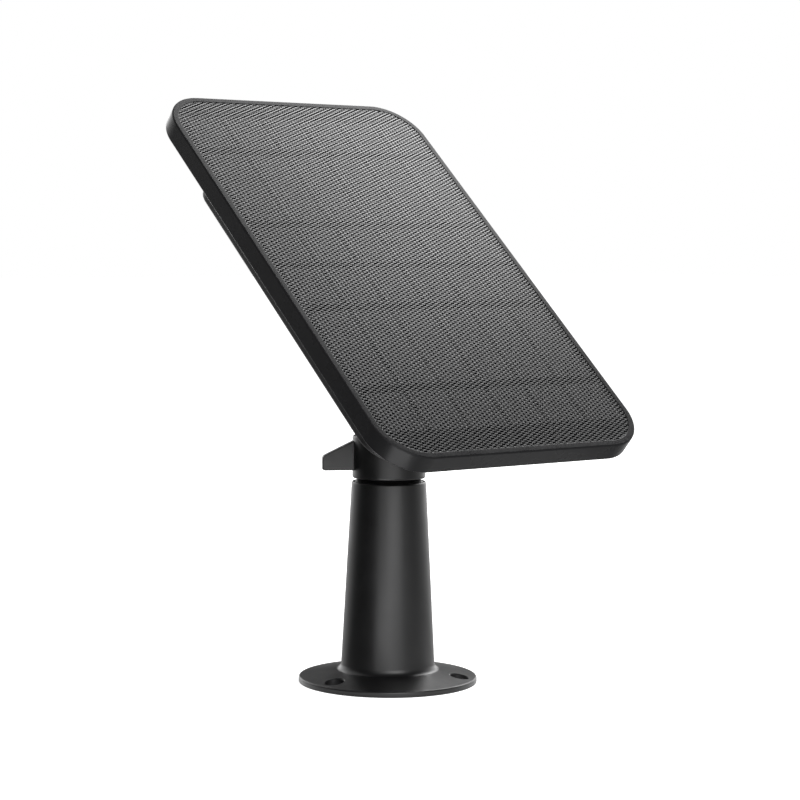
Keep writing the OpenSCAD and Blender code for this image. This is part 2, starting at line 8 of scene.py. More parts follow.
import logging
import math
from collections.abc import Callable, Iterator
from contextlib import contextmanager
from dataclasses import dataclass
from enum import Enum

import bmesh
import bpy
from bmesh.types import BMEdge, BMFace, BMVert
from bpy.types import Material, Modifier, Node, NodeSocket, NodeTree, Object
from mathutils import Matrix, Vector

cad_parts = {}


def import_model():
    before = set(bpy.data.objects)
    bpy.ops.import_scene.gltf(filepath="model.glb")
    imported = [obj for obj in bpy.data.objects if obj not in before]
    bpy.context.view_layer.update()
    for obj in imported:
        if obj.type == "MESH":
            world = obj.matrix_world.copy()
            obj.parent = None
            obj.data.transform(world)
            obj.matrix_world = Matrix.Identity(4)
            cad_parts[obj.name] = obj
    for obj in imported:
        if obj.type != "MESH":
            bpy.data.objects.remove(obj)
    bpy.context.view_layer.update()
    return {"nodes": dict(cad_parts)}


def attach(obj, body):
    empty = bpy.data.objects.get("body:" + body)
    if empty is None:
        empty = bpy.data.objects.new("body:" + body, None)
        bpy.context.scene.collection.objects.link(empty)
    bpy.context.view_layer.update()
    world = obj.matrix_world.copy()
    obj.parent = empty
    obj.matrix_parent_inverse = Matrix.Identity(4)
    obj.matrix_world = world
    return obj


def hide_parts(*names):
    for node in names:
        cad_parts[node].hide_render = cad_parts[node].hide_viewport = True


LOG = logging.getLogger("solar_panel_stand")
MM = 0.001

Outline = list[tuple[float, float]]
Colour = tuple[float, float, float]
Range = tuple[float, float]

NEAR = 1e-6
WHITE: Colour = (1.0, 1.0, 1.0)
BLACK: Colour = (0.0, 0.0, 0.0)
NOISE_RANGE: Range = (0.3, 0.7)
RIDGE_SHARE = 0.86
CREST_SHARE = 0.2
THREAD_STEPS = 40


def shift(x: float, y: float, z: float = 0.0) -> Matrix:
    """A move by distances in millimetres."""
    return Matrix.Translation((x * MM, y * MM, z * MM))


BALL_Z = 83.55
TILT = 41.0
PANEL_UP = 38.5
PANEL_OUT = 53.2
STUD_FRAME = shift(0, 0, BALL_Z) @ Matrix.Rotation(math.radians(TILT), 4, "X")
PANEL_FRAME = STUD_FRAME @ shift(0, PANEL_UP, PANEL_OUT)
UPRIGHT = Matrix.Identity(4)
UP_PANEL = PANEL_FRAME.to_3x3() @ Vector((0, 1, 0))
FILM_W = 108.66
FILM_L = 178.76
FILM_COLUMNS = 148
FILM_ROWS = 492
FINGER_PITCH = 1.597


class Part(Enum):
    """What a selection in edit mode is made of."""

    VERT = "verts"
    EDGE = "edges"
    FACE = "faces"


class Join(Enum):
    """How one solid is combined with another."""

    UNION = "UNION"
    CUT = "DIFFERENCE"


# Modelling helpers


def activate(piece: Object) -> None:
    """Selects one piece alone and makes it the active object.

    Args:
        piece: The object that the next operator works on.
    """
    clear_selection()
    piece.select_set(True)
    bpy.context.view_layer.objects.active = piece


def clear_selection() -> None:
    """Leaves no object selected."""
    bpy.ops.object.select_all(action="DESELECT")


def take(name: str) -> Object:
    """Names the primitive that was just added and puts its place into its mesh.

    Args:
        name: The piece's name.

    Returns:
        The new object, at the origin.
    """
    piece = bpy.context.object
    piece.name = name
    piece.data.name = name
    bpy.ops.object.transform_apply(location=True, rotation=True, scale=True)
    return piece


@contextmanager
def editing(piece: Object) -> Iterator[None]:
    """Opens a piece in edit mode for the statements inside.

    Args:
        piece: The mesh object to edit.

    Yields:
        Nothing, while the piece is open.
    """
    activate(piece)
    bpy.ops.object.mode_set(mode="EDIT")
    yield
    bpy.ops.object.mode_set(mode="OBJECT")


def pick(piece: Object, kind: Part, test: Callable[..., bool]) -> None:
    """Selects the elements that pass a test, and nothing else.

    Args:
        piece: The object that is open in edit mode.
        kind: Whether vertices, edges or faces are tested.
        test: Says whether one element is wanted.
    """
    bpy.ops.mesh.select_mode(type=kind.name)
    bpy.ops.mesh.select_all(action="DESELECT")
    mesh = bmesh.from_edit_mesh(piece.data)
    for element in getattr(mesh, kind.value):
        if test(element):
            element.select_set(True)
    mesh.select_flush_mode()
    bmesh.update_edit_mesh(piece.data)


def level(z: float, *points: BMVert) -> bool:
    """Says whether points lie at a height in millimetres."""
    return all(abs(point.co.z - z * MM) < NEAR for point in points)


def face_outwards() -> None:
    """Points all faces of the open mesh outwards."""
    bpy.ops.mesh.select_all(action="SELECT")
    bpy.ops.mesh.normals_make_consistent(inside=False)


def close_mesh() -> None:
    """Merges the open mesh's doubles, fills its open ends and points its faces outwards."""
    bpy.ops.mesh.select_all(action="SELECT")
    bpy.ops.mesh.remove_doubles(threshold=NEAR)
    bpy.ops.mesh.select_mode(type="EDGE")
    bpy.ops.mesh.select_all(action="DESELECT")
    bpy.ops.mesh.select_non_manifold(extend=False)
    bpy.ops.mesh.fill_holes(sides=0)
    face_outwards()


def draw_up(rise: float, grow: float, height: float) -> None:
    """Extrudes the selected loop by a rise in metres and resizes it about the Z axis at its new height."""
    bpy.ops.mesh.extrude_edges_move(TRANSFORM_OT_translate={"value": (0, 0, rise)})
    bpy.ops.transform.resize(value=(grow, grow, 1), center_override=(0, 0, height))


def arc(x: float, y: float, radius: float, start: float, end: float, steps: int = 6) -> Outline:
    """Points along an arc about a centre, from its start to its end angle in degrees."""
    angles = [math.radians(start + (end - start) * step / steps) for step in range(steps + 1)]
    return [(x + radius * math.cos(angle), y + radius * math.sin(angle)) for angle in angles]


def supported(outline: Outline, gap: float = 0.4) -> Outline:
    """Adds a point near both ends of each long run, so that smooth shading stays at the corners.

    Args:
        outline: The points of a profile.
        gap: Distance of an added point from the end of its run.

    Returns:
        The profile with the added points.
    """
    points = outline[:1]
    for (x0, y0), (x1, y1) in zip(outline, outline[1:]):
        run = math.hypot(x1 - x0, y1 - y0)
        if run > 5 * gap:
            share = gap / run
            points.append((x0 + (x1 - x0) * share, y0 + (y1 - y0) * share))
            points.append((x1 - (x1 - x0) * share, y1 - (y1 - y0) * share))
        points.append((x1, y1))
    return points


def turn(name: str, outline: Outline, steps: int = 96, closed: bool = False) -> Object:
    """Turns a profile about the Z axis, as on a lathe: a circle extruded and resized from loop to loop.

    Args:
        name: The piece's name.
        outline: Points of radius and height.
        steps: Sides of the circle.
        closed: Whether the last point leads back to the first; otherwise both ends get a flat cap.

    Returns:
        The turned solid.
    """
    radius, height = outline[0]
    clear_selection()
    bpy.ops.mesh.primitive_circle_add(vertices=steps, radius=radius * MM, location=(0, 0, height * MM))
    piece = take(name)
    with editing(piece):
        bpy.ops.mesh.select_mode(type="EDGE")
        bpy.ops.mesh.select_all(action="SELECT")
        for wide, high in outline[1:] + outline[:1] * closed:
            draw_up((high - height) * MM, wide / radius, high * MM)
            radius, height = wide, high
        close_mesh()
    return piece


def slab(
    name: str,
    width: float,
    length: float,
    low: float,
    high: float,
    corner: float,
    foot: float = 0,
    steps: int = 20,
) -> Object:
    """Makes a plate with rounded corners, centred on the Z axis.

    Args:
        name: The piece's name.
        width: Size along X.
        length: Size along Y.
        low: Height of the underside.
        high: Height of the top.
        corner: Radius of the corners.
        foot: Radius of the two corners at negative Y, where it differs.
        steps: Pieces of each corner.

    Returns:
        The plate.
    """
    clear_selection()
    bpy.ops.mesh.primitive_cube_add(size=1, location=(0, 0, (low + high) / 2 * MM))
    bpy.context.object.scale = (width * MM, length * MM, (high - low) * MM)
    piece = take(name)
    with editing(piece):
        for side, radius in ((1, corner), (-1, foot or corner)):
            pick(
                piece,
                Part.EDGE,
                lambda edge: abs(edge.verts[0].co.z - edge.verts[1].co.z) > NEAR
                and all(abs(vert.co.y - side * length / 2 * MM) < NEAR for vert in edge.verts)
                and all(abs(abs(vert.co.x) - width / 2 * MM) < NEAR for vert in edge.verts),
            )
            bpy.ops.mesh.bevel(offset=radius * MM, segments=steps, affect="EDGES")
    return piece


def inside(point: Vector, width: float, length: float, corner: float) -> float:
    """Distance in millimetres from a point to a plate's outline, positive inside.

    Args:
        point: The point, in metres.
        width: The plate's size along X.
        length: The plate's size along Y.
        corner: The plate's corner radius.

    Returns:
        The distance to the outline.
    """
    x = abs(point.x) / MM - (width / 2 - corner)
    y = abs(point.y) / MM - (length / 2 - corner)
    return corner - math.hypot(max(x, 0), max(y, 0)) - min(max(x, y), 0)


def apply(piece: Object, change: Modifier) -> None:
    """Applies one modifier of a piece."""
    activate(piece)
    bpy.ops.object.modifier_apply(modifier=change.name)


def combine(piece: Object, tool: Object, join: Join) -> None:
    """Adds a solid to a piece or cuts it out, and removes the solid.

    Args:
        piece: The piece that stays.
        tool: The solid that is used up.
        join: Whether it is added or cut out.
    """
    change = piece.modifiers.new("combine", "BOOLEAN")
    change.operation = join.value
    change.solver = "EXACT"
    change.object = tool
    apply(piece, change)
    bpy.data.objects.remove(tool)


def seat(piece: Object, place: Matrix) -> Object:
    """Moves a piece to its place and puts that place into its mesh.

    Args:
        piece: The piece to move.
        place: Where it goes.

    Returns:
        The same piece, at the origin again.
    """
    activate(piece)
    piece.matrix_world = place
    bpy.ops.object.transform_apply(location=True, rotation=True, scale=True)
    return piece


def copy_of(piece: Object, place: Matrix) -> Object:
    """Copies a piece with its own mesh and seats the copy.

    Args:
        piece: The piece to copy.
        place: Where the copy goes.

    Returns:
        The copy.
    """
    activate(piece)
    bpy.ops.object.duplicate(linked=False)
    return seat(bpy.context.object, place)


def gather(pieces: list[Object]) -> Object:
    """Joins pieces into the first of them.

    Args:
        pieces: The objects to join.

    Returns:
        The first object, which holds all the meshes.
    """
    activate(pieces[0])
    for piece in pieces[1:]:
        piece.select_set(True)
    bpy.ops.object.join()
    return pieces[0]


def helix(name: str, root: float, crest: float, pitch: float, low: float, turns: int) -> Object:
    """Winds a screw thread's ridge round the Z axis.

    Args:
        name: The piece's name.
        root: Inner radius of the ridge.
        crest: Outer radius of the ridge.
        pitch: Rise of each turn.
        low: Height where the ridge starts.
        turns: Number of turns.

    Returns:
        The ridge, closed at both ends.
    """
    clear_selection()
    bpy.ops.mesh.primitive_plane_add(size=1, rotation=(math.pi / 2, 0, 0))
    bpy.context.object.scale = ((crest - root) * MM, pitch * RIDGE_SHARE * MM, 1)
    bpy.context.object.location = ((crest + root) / 2 * MM, 0, (low + pitch / 2) * MM)
    piece = take(name)
    with editing(piece):
        bpy.ops.mesh.select_all(action="SELECT")
        bpy.ops.mesh.delete(type="ONLY_FACE")
        pick(piece, Part.VERT, lambda vert: vert.co.x > (crest + root) / 2 * MM)
        bpy.ops.transform.resize(value=(1, 1, CREST_SHARE), center_override=(0, 0, (low + pitch / 2) * MM))
    change = piece.modifiers.new("wind", "SCREW")
    change.axis = "Z"
    change.screw_offset = pitch * MM
    change.iterations = turns
    change.steps = THREAD_STEPS
    change.render_steps = THREAD_STEPS
    apply(piece, change)
    with editing(piece):
        close_mesh()
    return piece


# Finishes


class Nodes:
    """A tree of shader nodes that is being laid out."""

    def __init__(self, tree: NodeTree) -> None:
        """Takes up a tree."""
        self.tree = tree

    def node(self, kind: str, **values: float | str | NodeSocket) -> Node:
        """Adds a node, with its settings, constants and links.

        Args:
            kind: The node's type, without its ShaderNode prefix.
            values: Settings of the node, or values or sockets for its inputs.

        Returns:
            The node.
        """
        made = self.tree.nodes.new("ShaderNode" + kind)
        for name, value in values.items():
            if not name[0].isupper() and not name[0] == "_":
                setattr(made, name, value)
                continue
            key = int(name[1:]) if name[0] == "_" else name.replace("_", " ")
            if isinstance(value, NodeSocket):
                self.tree.links.new(value, made.inputs[key])
            else:
                made.inputs[key].default_value = value
        return made

    def math(self, operation: str, *values: NodeSocket | float) -> NodeSocket:
        """Calculates with patterns, by one of the Math node's operations."""
        inputs = {f"_{place}": value for place, value in enumerate(values)}
        return self.node("Math", operation=operation, **inputs).outputs[0]

    def along(self, place: NodeSocket, axis: Vector) -> NodeSocket:
        """A place's distance along an axis."""
        return self.node("VectorMath", operation="DOT_PRODUCT", _0=place, _1=axis).outputs["Value"]

    def remap(
        self,
        source: NodeSocket,
        low: float,
        high: float,
        start: float = 0.0,
        end: float = 1.0,
        kind: str = "LINEAR",
    ) -> NodeSocket:
        """Maps a pattern's values from their start and end to a low and a high value."""
        ends = {"From_Min": start, "From_Max": end, "To_Min": low, "To_Max": high}
        return self.node("MapRange", interpolation_type=kind, Value=source, **ends).outputs["Result"]

    def blend(self, share: NodeSocket, first: NodeSocket | Colour, second: NodeSocket | Colour) -> NodeSocket:
        """Mixes two colours by the share of the second."""
        ends = [(*end, 1.0) if isinstance(end, tuple) else end for end in (first, second)]
        return self.node("Mix", data_type="RGBA", _0=share, _6=ends[0], _7=ends[1]).outputs[2]

    def shades(self, share: NodeSocket, colour: Colour, tones: Range) -> NodeSocket:
        """A colour that varies between a darker and a lighter tone of itself."""
        ends = [tuple(min(1.0, channel * tone) for channel in colour) for tone in tones]
        return self.blend(share, *ends)


class Sketch(Nodes):
    """One material's nodes, laid round its Principled shader."""

    def __init__(self, name: str) -> None:
        """Starts a material.

        Args:
            name: The material's name.
        """
        self.material = bpy.data.materials.new(name)
        self.material.use_nodes = True
        super().__init__(self.material.node_tree)
        self.shader = self.tree.nodes["Principled BSDF"]
        self.place = self.node("TexCoord").outputs["Object"]

    def set(self, **values: float | Colour) -> None:
        """Sets constants on the shader's own sockets.

        Args:
            values: Socket names, with spaces as underscores, and their values.
        """
        for name, value in values.items():
            full = (*value, 1.0) if isinstance(value, tuple) else value
            self.shader.inputs[name.replace("_", " ")].default_value = full

    def drive(self, socket: str, source: NodeSocket) -> None:
        """Links a pattern to one of the shader's sockets."""
        self.tree.links.new(source, self.shader.inputs[socket])

    def noise(self, size: float, detail: float = 2.0) -> NodeSocket:
        """A noise pattern around one half, with marks of a size in millimetres and some finer layers."""
        return self.node("TexNoise", Vector=self.place, Scale=1 / (size * MM), Detail=detail).outputs["Fac"]

    def spread(self, source: NodeSocket, low: float, high: float) -> NodeSocket:
        """Maps a noise pattern's middle range to a range of values."""
        return self.remap(source, low, high, *NOISE_RANGE)

    def across(self) -> NodeSocket:
        """Distance across the panel, in metres."""
        return self.node("SeparateXYZ", Vector=self.place).outputs["X"]

    def relief(self, height: NodeSocket, depth: float) -> None:
        """Raises a pattern as fine relief, with its depth in millimetres."""
        made = self.node("Bump", Height=height, Distance=depth * MM, Strength=1.0)
        self.drive("Normal", made.outputs["Normal"])


@dataclass(frozen=True)
class MouldedPlastic:
    """Moulded plastic with a fine eroded grain."""

    name: str
    colour: Colour
    roughness: float = 0.4
    grain: float = 0.006
    grain_size: float = 0.35
    specular: float = 0.3
    flow: float = 16.0
    handling: float = 7.0
    tones: Range = (0.8, 1.2)
    wear: Range = (0.9, 1.1)

    def material(self) -> Material:
        """Makes the plastic's material.

        Returns:
            The finished material.
        """
        sketch = Sketch(self.name)
        sketch.drive("Base Color", sketch.shades(sketch.noise(self.flow, 3.0), self.colour, self.tones))
        rough = [self.roughness * share for share in self.wear]
        sketch.drive("Roughness", sketch.spread(sketch.noise(self.handling, 4.0), *rough))
        sketch.relief(sketch.noise(self.grain_size), self.grain)
        sketch.set(Specular_IOR_Level=self.specular)
        return sketch.material


@dataclass(frozen=True)
class Metal:
    """Turned or plated metal with fine tool marks."""

    name: str
    colour: Colour
    roughness: float = 0.3
    bloom: float = 3.0
    marks: float = 0.12
    mark_depth: float = 0.002
    tones: Range = (0.85, 1.1)
    wear: Range = (0.75, 1.3)

    def material(self) -> Material:
        """Makes the metal's material.

        Returns:
            The finished material.
        """
        sketch = Sketch(self.name)
        bloom = sketch.noise(self.bloom, 3.0)
        sketch.drive("Base Color", sketch.shades(bloom, self.colour, self.tones))
        sketch.drive("Roughness", sketch.spread(bloom, *(self.roughness * share for share in self.wear)))
        sketch.relief(sketch.noise(self.marks), self.mark_depth)
        sketch.set(Metallic=1.0)
        return sketch.material


@dataclass(frozen=True)
class Rubber:
    """Soft rubber or foam, dull and finely pitted."""

    name: str
    colour: Colour
    pit: float = 0.25
    depth: float = 0.02
    cloud: float = 5.0
    tones: Range = (0.75, 1.25)
    roughness: Range = (0.68, 0.86)
    specular: float = 0.35

    def material(self) -> Material:
        """Makes the rubber's material.

        Returns:
            The finished material.
        """
        sketch = Sketch(self.name)
        cloud = sketch.noise(self.cloud, 3.0)
        pits = sketch.node("TexVoronoi", Vector=sketch.place, Scale=1 / (self.pit * MM)).outputs["Distance"]
        sketch.drive("Base Color", sketch.shades(cloud, self.colour, self.tones))
        sketch.drive("Roughness", sketch.spread(cloud, *self.roughness))
        sketch.relief(pits, self.depth)
        sketch.set(Specular_IOR_Level=self.specular)
        return sketch.material


@dataclass(frozen=True)
class EmbossedFilm:
    """Embossed film over the cells: a milky net whose pits show the fingers, ribbons and gaps below."""

    name: str
    net: Colour = (0.0065, 0.0066, 0.0069)
    silicon: Colour = (0.002, 0.002, 0.0024)
    finger: Colour = (0.02, 0.02, 0.021)
    net_roughness: float = 0.24
    pit_roughness: float = 0.5
    net_gloss: float = 0.54
    pit_gloss: float = 0.0
    finger_gloss: float = 0.06
    show_through: float = 0.5
    haze: float = 22.0
    tones: Range = (0.92, 1.08)
    pitch_x: float = 4 * FILM_W / FILM_COLUMNS
    pitch_y: float = 4 * FILM_L / FILM_ROWS
    pit_range: Range = (0.42, -0.14)
    finger_range: Range = (-0.4, 1.0)
    middle: float = 0.82
    bands: tuple[Range, ...] = ((0.0, 1.35), (21.2, 1.8), (60.6, 1.8), (85.0, 4.95))
    column: float = 17.573
    column_gap: float = 1.4
    column_shift: float = 0.5
    array_w: float = 104.0
    band_shade: float = 0.66

    def wave(self, sketch: Sketch, place: NodeSocket, pitch: float) -> NodeSocket:
        """A cosine along a distance in metres, with a pitch in millimetres."""
        return sketch.math("COSINE", sketch.math("MULTIPLY", place, math.tau / (pitch * MM)))

    def banded(self, sketch: Sketch, across: NodeSocket, along: NodeSocket) -> NodeSocket:
        """Marks the ribbons, the gaps between the cells and the bare margins.

        Args:
            sketch: The material's nodes.
            across: Distance across the panel, in metres.
            along: Distance up the panel, in metres.

        Returns:
            One on a band and zero elsewhere.
        """
        away = sketch.math("ABSOLUTE", sketch.math("SUBTRACT", along, self.middle * MM))
        aside = sketch.math("SUBTRACT", across, self.column_shift * MM)
        nearest = sketch.math("PINGPONG", aside, self.column / 2 * MM)
        gap = sketch.math("LESS_THAN", nearest, self.column_gap / 2 * MM)
        margin = sketch.math("GREATER_THAN", sketch.math("ABSOLUTE", aside), self.array_w / 2 * MM)
        total = sketch.math("MAXIMUM", gap, margin)
        for centre, half in self.bands:
            band = sketch.math("COMPARE", away, centre * MM, half * MM)
            total = sketch.math("MAXIMUM", total, band)
        return total

    def material(self) -> Material:
        """Makes the film's material.

        Returns:
            The finished material.
        """
        sketch = Sketch(self.name)
        across = sketch.across()
        rise = sketch.along(sketch.place, UP_PANEL)
        along = sketch.math("SUBTRACT", rise, PANEL_FRAME.translation.dot(UP_PANEL))
        waves = [self.wave(sketch, across, self.pitch_x), self.wave(sketch, along, self.pitch_y)]
        pit = sketch.remap(sketch.math("MULTIPLY", *waves), 0.0, 1.0, *self.pit_range, "SMOOTHSTEP")
        ripple = self.wave(sketch, across, FINGER_PITCH)
        band = self.banded(sketch, across, along)
        bare = sketch.math("SUBTRACT", 1.0, band)
        line = sketch.math("MULTIPLY", sketch.remap(ripple, 0.0, 1.0, *self.finger_range), bare)
        below = sketch.blend(line, self.silicon, self.finger)
        cloud = sketch.shades(sketch.noise(self.haze, 3.0), self.net, self.tones)
        dim = sketch.remap(band, 1.0, self.band_shade)
        milk = sketch.node("VectorMath", operation="SCALE", _0=cloud, Scale=dim).outputs["Vector"]
        sketch.drive("Base Color", sketch.blend(pit, milk, below))
        sketch.drive("Roughness", sketch.remap(pit, self.net_roughness, self.pit_roughness))
        deep = sketch.remap(line, self.pit_gloss, self.finger_gloss)
        least, most = (self.net_gloss * (1 + sign * self.show_through) for sign in (-1, 1))
        shine = sketch.remap(sketch.math("MULTIPLY", ripple, bare), least, most, -1.0)
        sketch.drive("Specular IOR Level", sketch.node("Mix", _0=pit, _2=shine, _3=deep).outputs[0])
        return sketch.material


@dataclass(frozen=True)
class SiliconCell:
    """Dark silicon with fine printed silver fingers."""

    name: str
    silicon: Colour = (0.006, 0.007, 0.011)
    silver: Colour = (0.5, 0.5, 0.5)
    line: float = 0.12
    grain: float = 4.0
    tones: Range = (0.7, 1.3)
    roughness: Range = (0.3, 0.42)

    def material(self) -> Material:
        """Makes the cell's material.

        Returns:
            The finished material.
        """
        sketch = Sketch(self.name)
        nearest = sketch.math("PINGPONG", sketch.across(), FINGER_PITCH / 2 * MM)
        finger = sketch.math("LESS_THAN", nearest, self.line / 2 * MM)
        grain = sketch.node("TexVoronoi", Vector=sketch.place, Scale=1 / (self.grain * MM)).outputs["Color"]
        share = sketch.node("SeparateColor", Color=grain).outputs[0]
        wafer = sketch.shades(share, self.silicon, self.tones)
        sketch.drive("Base Color", sketch.blend(finger, wafer, self.silver))
        sketch.drive("Roughness", sketch.spread(sketch.noise(2.0), *self.roughness))
        return sketch.material


@dataclass(frozen=True)
class BoardLaminate:
    """Circuit board lacquer with faint copper tracks under it."""

    name: str
    lacquer: Colour = (0.012, 0.09, 0.035)
    track: Colour = (0.03, 0.17, 0.06)
    pitch: float = 8.0
    track_h: float = 0.03
    roughness: Range = (0.25, 0.4)

    def material(self) -> Material:
        """Makes the board's material.

        Returns:
            The finished material.
        """
        sketch = Sketch(self.name)
        tracks = sketch.node(
            "TexBrick", Vector=sketch.place, Scale=1 / (self.pitch * MM), Mortar_Size=0.06, Mortar_Smooth=0.1
        ).outputs["Fac"]
        sketch.drive("Base Color", sketch.blend(tracks, self.lacquer, self.track))
        sketch.drive("Roughness", sketch.spread(sketch.noise(3.0), *self.roughness))
        sketch.relief(tracks, self.track_h)
        return sketch.material


Finish = MouldedPlastic | Metal | Rubber | EmbossedFilm | SiliconCell | BoardLaminate

STAND_PLASTIC = MouldedPlastic("stand_plastic", (0.005, 0.005, 0.0053), roughness=0.36)
RING_PLASTIC = MouldedPlastic("ring_plastic", (0.005, 0.005, 0.0053), roughness=0.36)
FRAME_PLASTIC = MouldedPlastic("frame_plastic", (0.01, 0.01, 0.0105), roughness=0.28, specular=0.06)
COVER_PLASTIC = MouldedPlastic("cover_plastic", (0.008, 0.008, 0.0085), roughness=0.46, grain=0.012)
WHEEL_PLASTIC = MouldedPlastic("wheel_plastic", (0.008, 0.008, 0.0085), roughness=0.42)
CUP_PLASTIC = MouldedPlastic("cup_plastic", (0.45, 0.44, 0.42), roughness=0.5)
CHIP_PLASTIC = MouldedPlastic("chip_plastic", (0.015, 0.015, 0.016), roughness=0.5)
HEADER_PLASTIC = MouldedPlastic("header_plastic", (0.62, 0.59, 0.52), roughness=0.45)
BACK_SHEET = MouldedPlastic("back_sheet", (0.009, 0.009, 0.011), roughness=0.5)
RED_LEAD = MouldedPlastic("red_lead", (0.42, 0.02, 0.015), roughness=0.45)
BLACK_LEAD = MouldedPlastic("black_lead", (0.012, 0.012, 0.013), roughness=0.45)
BALL_FINISH = Metal("ball_finish", (0.09, 0.09, 0.095), roughness=0.28)
STEEL = Metal("steel", (0.55, 0.55, 0.56), roughness=0.28)
BRASS = Metal("brass", (0.72, 0.5, 0.2), roughness=0.3)
RIBBON = Metal("ribbon", (0.05, 0.05, 0.055), roughness=0.45)
CAN_ALUMINIUM = Metal("can_aluminium", (0.75, 0.75, 0.76), roughness=0.35)
RUBBER = Rubber("rubber", (0.016, 0.016, 0.017))
FOAM_TAPE = Rubber("foam_tape", (0.03, 0.03, 0.032), pit=0.5, depth=0.08)
FERRITE = Rubber("ferrite", (0.03, 0.028, 0.028), pit=0.2, depth=0.015)
FRONT_FILM = EmbossedFilm("front_film")
CELL_SILICON = SiliconCell("solar_cell")
LAMINATE = BoardLaminate("circuit_board")


def dress(
    piece: Object,
    place: Matrix,
    body: str,
    finish: Finish,
    node: str,
    angle: float = 32.0,
    weighted: bool = True,
) -> None:
    """Seats and shades a piece, gives it its finish and body, and hides the solid that it stands for.

    Args:
        piece: The modelled piece.
        place: Where it goes.
        body: The body that carries it.
        finish: The finish of its surface.
        node: The solid that it replaces.
        angle: Edges sharper than this many degrees stay sharp.
        weighted: Whether large faces hold their own normals.
    """
    seat(piece, place)
    bpy.ops.object.shade_smooth_by_angle(angle=math.radians(angle))
    if weighted:
        change = piece.modifiers.new("weighted", "WEIGHTED_NORMAL")
        change.keep_sharp = True
        apply(piece, change)
    piece.data.materials.clear()
    piece.data.materials.append(finish.material())
    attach(piece, body)
    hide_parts(node)
    LOG.info("%s: %d faces on %s", piece.name, len(piece.data.polygons), body)


# Sub-assemblies


@dataclass
class PostStand:
    """Screw-down flange and tapered post, in one moulding."""

    base_r: float = 32.0
    rim_h: float = 2.0
    rim_edge: float = 0.6
    flange_h: float = 4.45
    post_low_r: float = 16.75
    post_top_r: float = 13.35
    fillet: float = 2.5
    shoulder_z: float = 72.2
    shoulder_edge: float = 0.7
    neck_r: float = 12.2
    neck_top_r: float = 11.1
    neck_z: float = 73.04
    spigot_r: float = 10.1
    thread_r: float = 10.6
    spigot_z: float = 82.05
    cup_r: float = 8.65
    cup_z: float = 73.9
    cavity_low_r: float = 13.75
    cavity_top_r: float = 10.35
    cavity_z: float = 66.2
    rib: float = 2.0
    hole_r: float = 3.4
    hole_circle: float = 26.4
    hole_turn: float = 66.6
    hole_edge: float = 0.3
    holes: int = 3
    spigot_edge: float = 0.4
    foot_edge: float = 0.25
    thread_pitch: float = 2.2
    thread_z: float = 73.8
    thread_turns: int = 3
    thread_sink: float = 0.2

    def fall(self) -> float:
        """Slope of the flange's top, in degrees."""
        run = self.base_r - self.post_low_r - self.fillet
        return math.degrees(math.atan((self.flange_h - self.rim_h) / run))

    def lean(self) -> float:
        """Taper of the post's side, in degrees."""
        run = self.shoulder_z - self.flange_h
        return math.degrees(math.atan((self.post_low_r - self.post_top_r) / run))

    def outline(self) -> Outline:
        """Profile from the cup's floor over the post to the underside.

        Returns:
            Points of radius and height.
        """
        fall, lean = self.fall(), self.lean()
        rim, top, root = self.rim_edge, self.shoulder_edge, self.fillet
        end, foot = self.spigot_edge, self.foot_edge
        rim_z = self.rim_h + math.tan(math.radians(fall)) * rim - rim / math.cos(math.radians(fall))
        low = self.spigot_z - end
        points = [(self.cup_r, self.cup_z), (self.cup_r, low), (self.cup_r + end, self.spigot_z)]
        points += [(self.spigot_r - end, self.spigot_z), (self.spigot_r, low)]
        points += arc(self.spigot_r + end, self.neck_z + end, end, 180, 270, 3)
        points += [(self.neck_top_r, self.neck_z), (self.neck_r, self.shoulder_z)]
        points += arc(self.post_top_r - top, self.shoulder_z - top, top, 90, lean, 8)
        points += arc(self.post_low_r + root, self.flange_h + root, root, 180 + lean, 270 - fall, 14)
        points += arc(self.base_r - rim, rim_z, rim, 90 - fall, 0, 6)
        points += arc(self.base_r - foot, foot, foot, 0, -90, 3)
        return supported(points)

    def cavities(self) -> Object:
        """Makes the four hollows under the post, parted by two crossing ribs.

        Returns:
            The hollows as one cutting solid.
        """
        points = [(self.cavity_low_r, -1.0), (self.cavity_low_r, 0.0), (self.cavity_top_r, self.cavity_z)]
        hollow = turn("cavity", points, 64)
        for width, depth in ((self.rib, 60.0), (60.0, self.rib)):
            combine(hollow, slab("rib", width, depth, -2.0, self.cavity_z + 2.0, 0.2, steps=2), Join.CUT)
        return hollow

    def bore_hole(self, piece: Object, angle: float) -> None:
        """Cuts one fixing hole with a broken edge.

        Args:
            piece: The stand.
            angle: Where the hole is, in degrees round the post.
        """
        fall = math.radians(self.fall())
        mouth = self.rim_h + math.tan(fall) * (self.base_r - self.hole_circle)
        aside = Matrix.Rotation(math.radians(angle), 4, "Z") @ shift(self.hole_circle, 0)
        drill = turn("drill", [(self.hole_r, -1.0), (self.hole_r, mouth + 3.0)], 48)
        combine(piece, seat(drill, aside), Join.CUT)
        reach = 1.2
        cone = [(self.hole_r - reach + self.hole_edge, -reach), (self.hole_r + reach + self.hole_edge, reach)]
        tipped = aside @ shift(0, 0, mouth) @ Matrix.Rotation(fall, 4, "Y")
        combine(piece, seat(turn("countersink", cone, 48), tipped), Join.CUT)

    def build(self) -> None:
        """Models the stand, cuts its holes and dresses it."""
        piece = turn("stand", self.outline(), 128)
        combine(piece, self.cavities(), Join.CUT)
        for step in range(self.holes):
            self.bore_hole(piece, self.hole_turn + 360 / self.holes * step)
        sizes = (self.thread_r, self.thread_pitch, self.thread_z, self.thread_turns)
        combine(piece, helix("spigot_thread", self.spigot_r - self.thread_sink, *sizes), Join.UNION)
        dress(piece, UPRIGHT, "stand", STAND_PLASTIC, "stand_post")


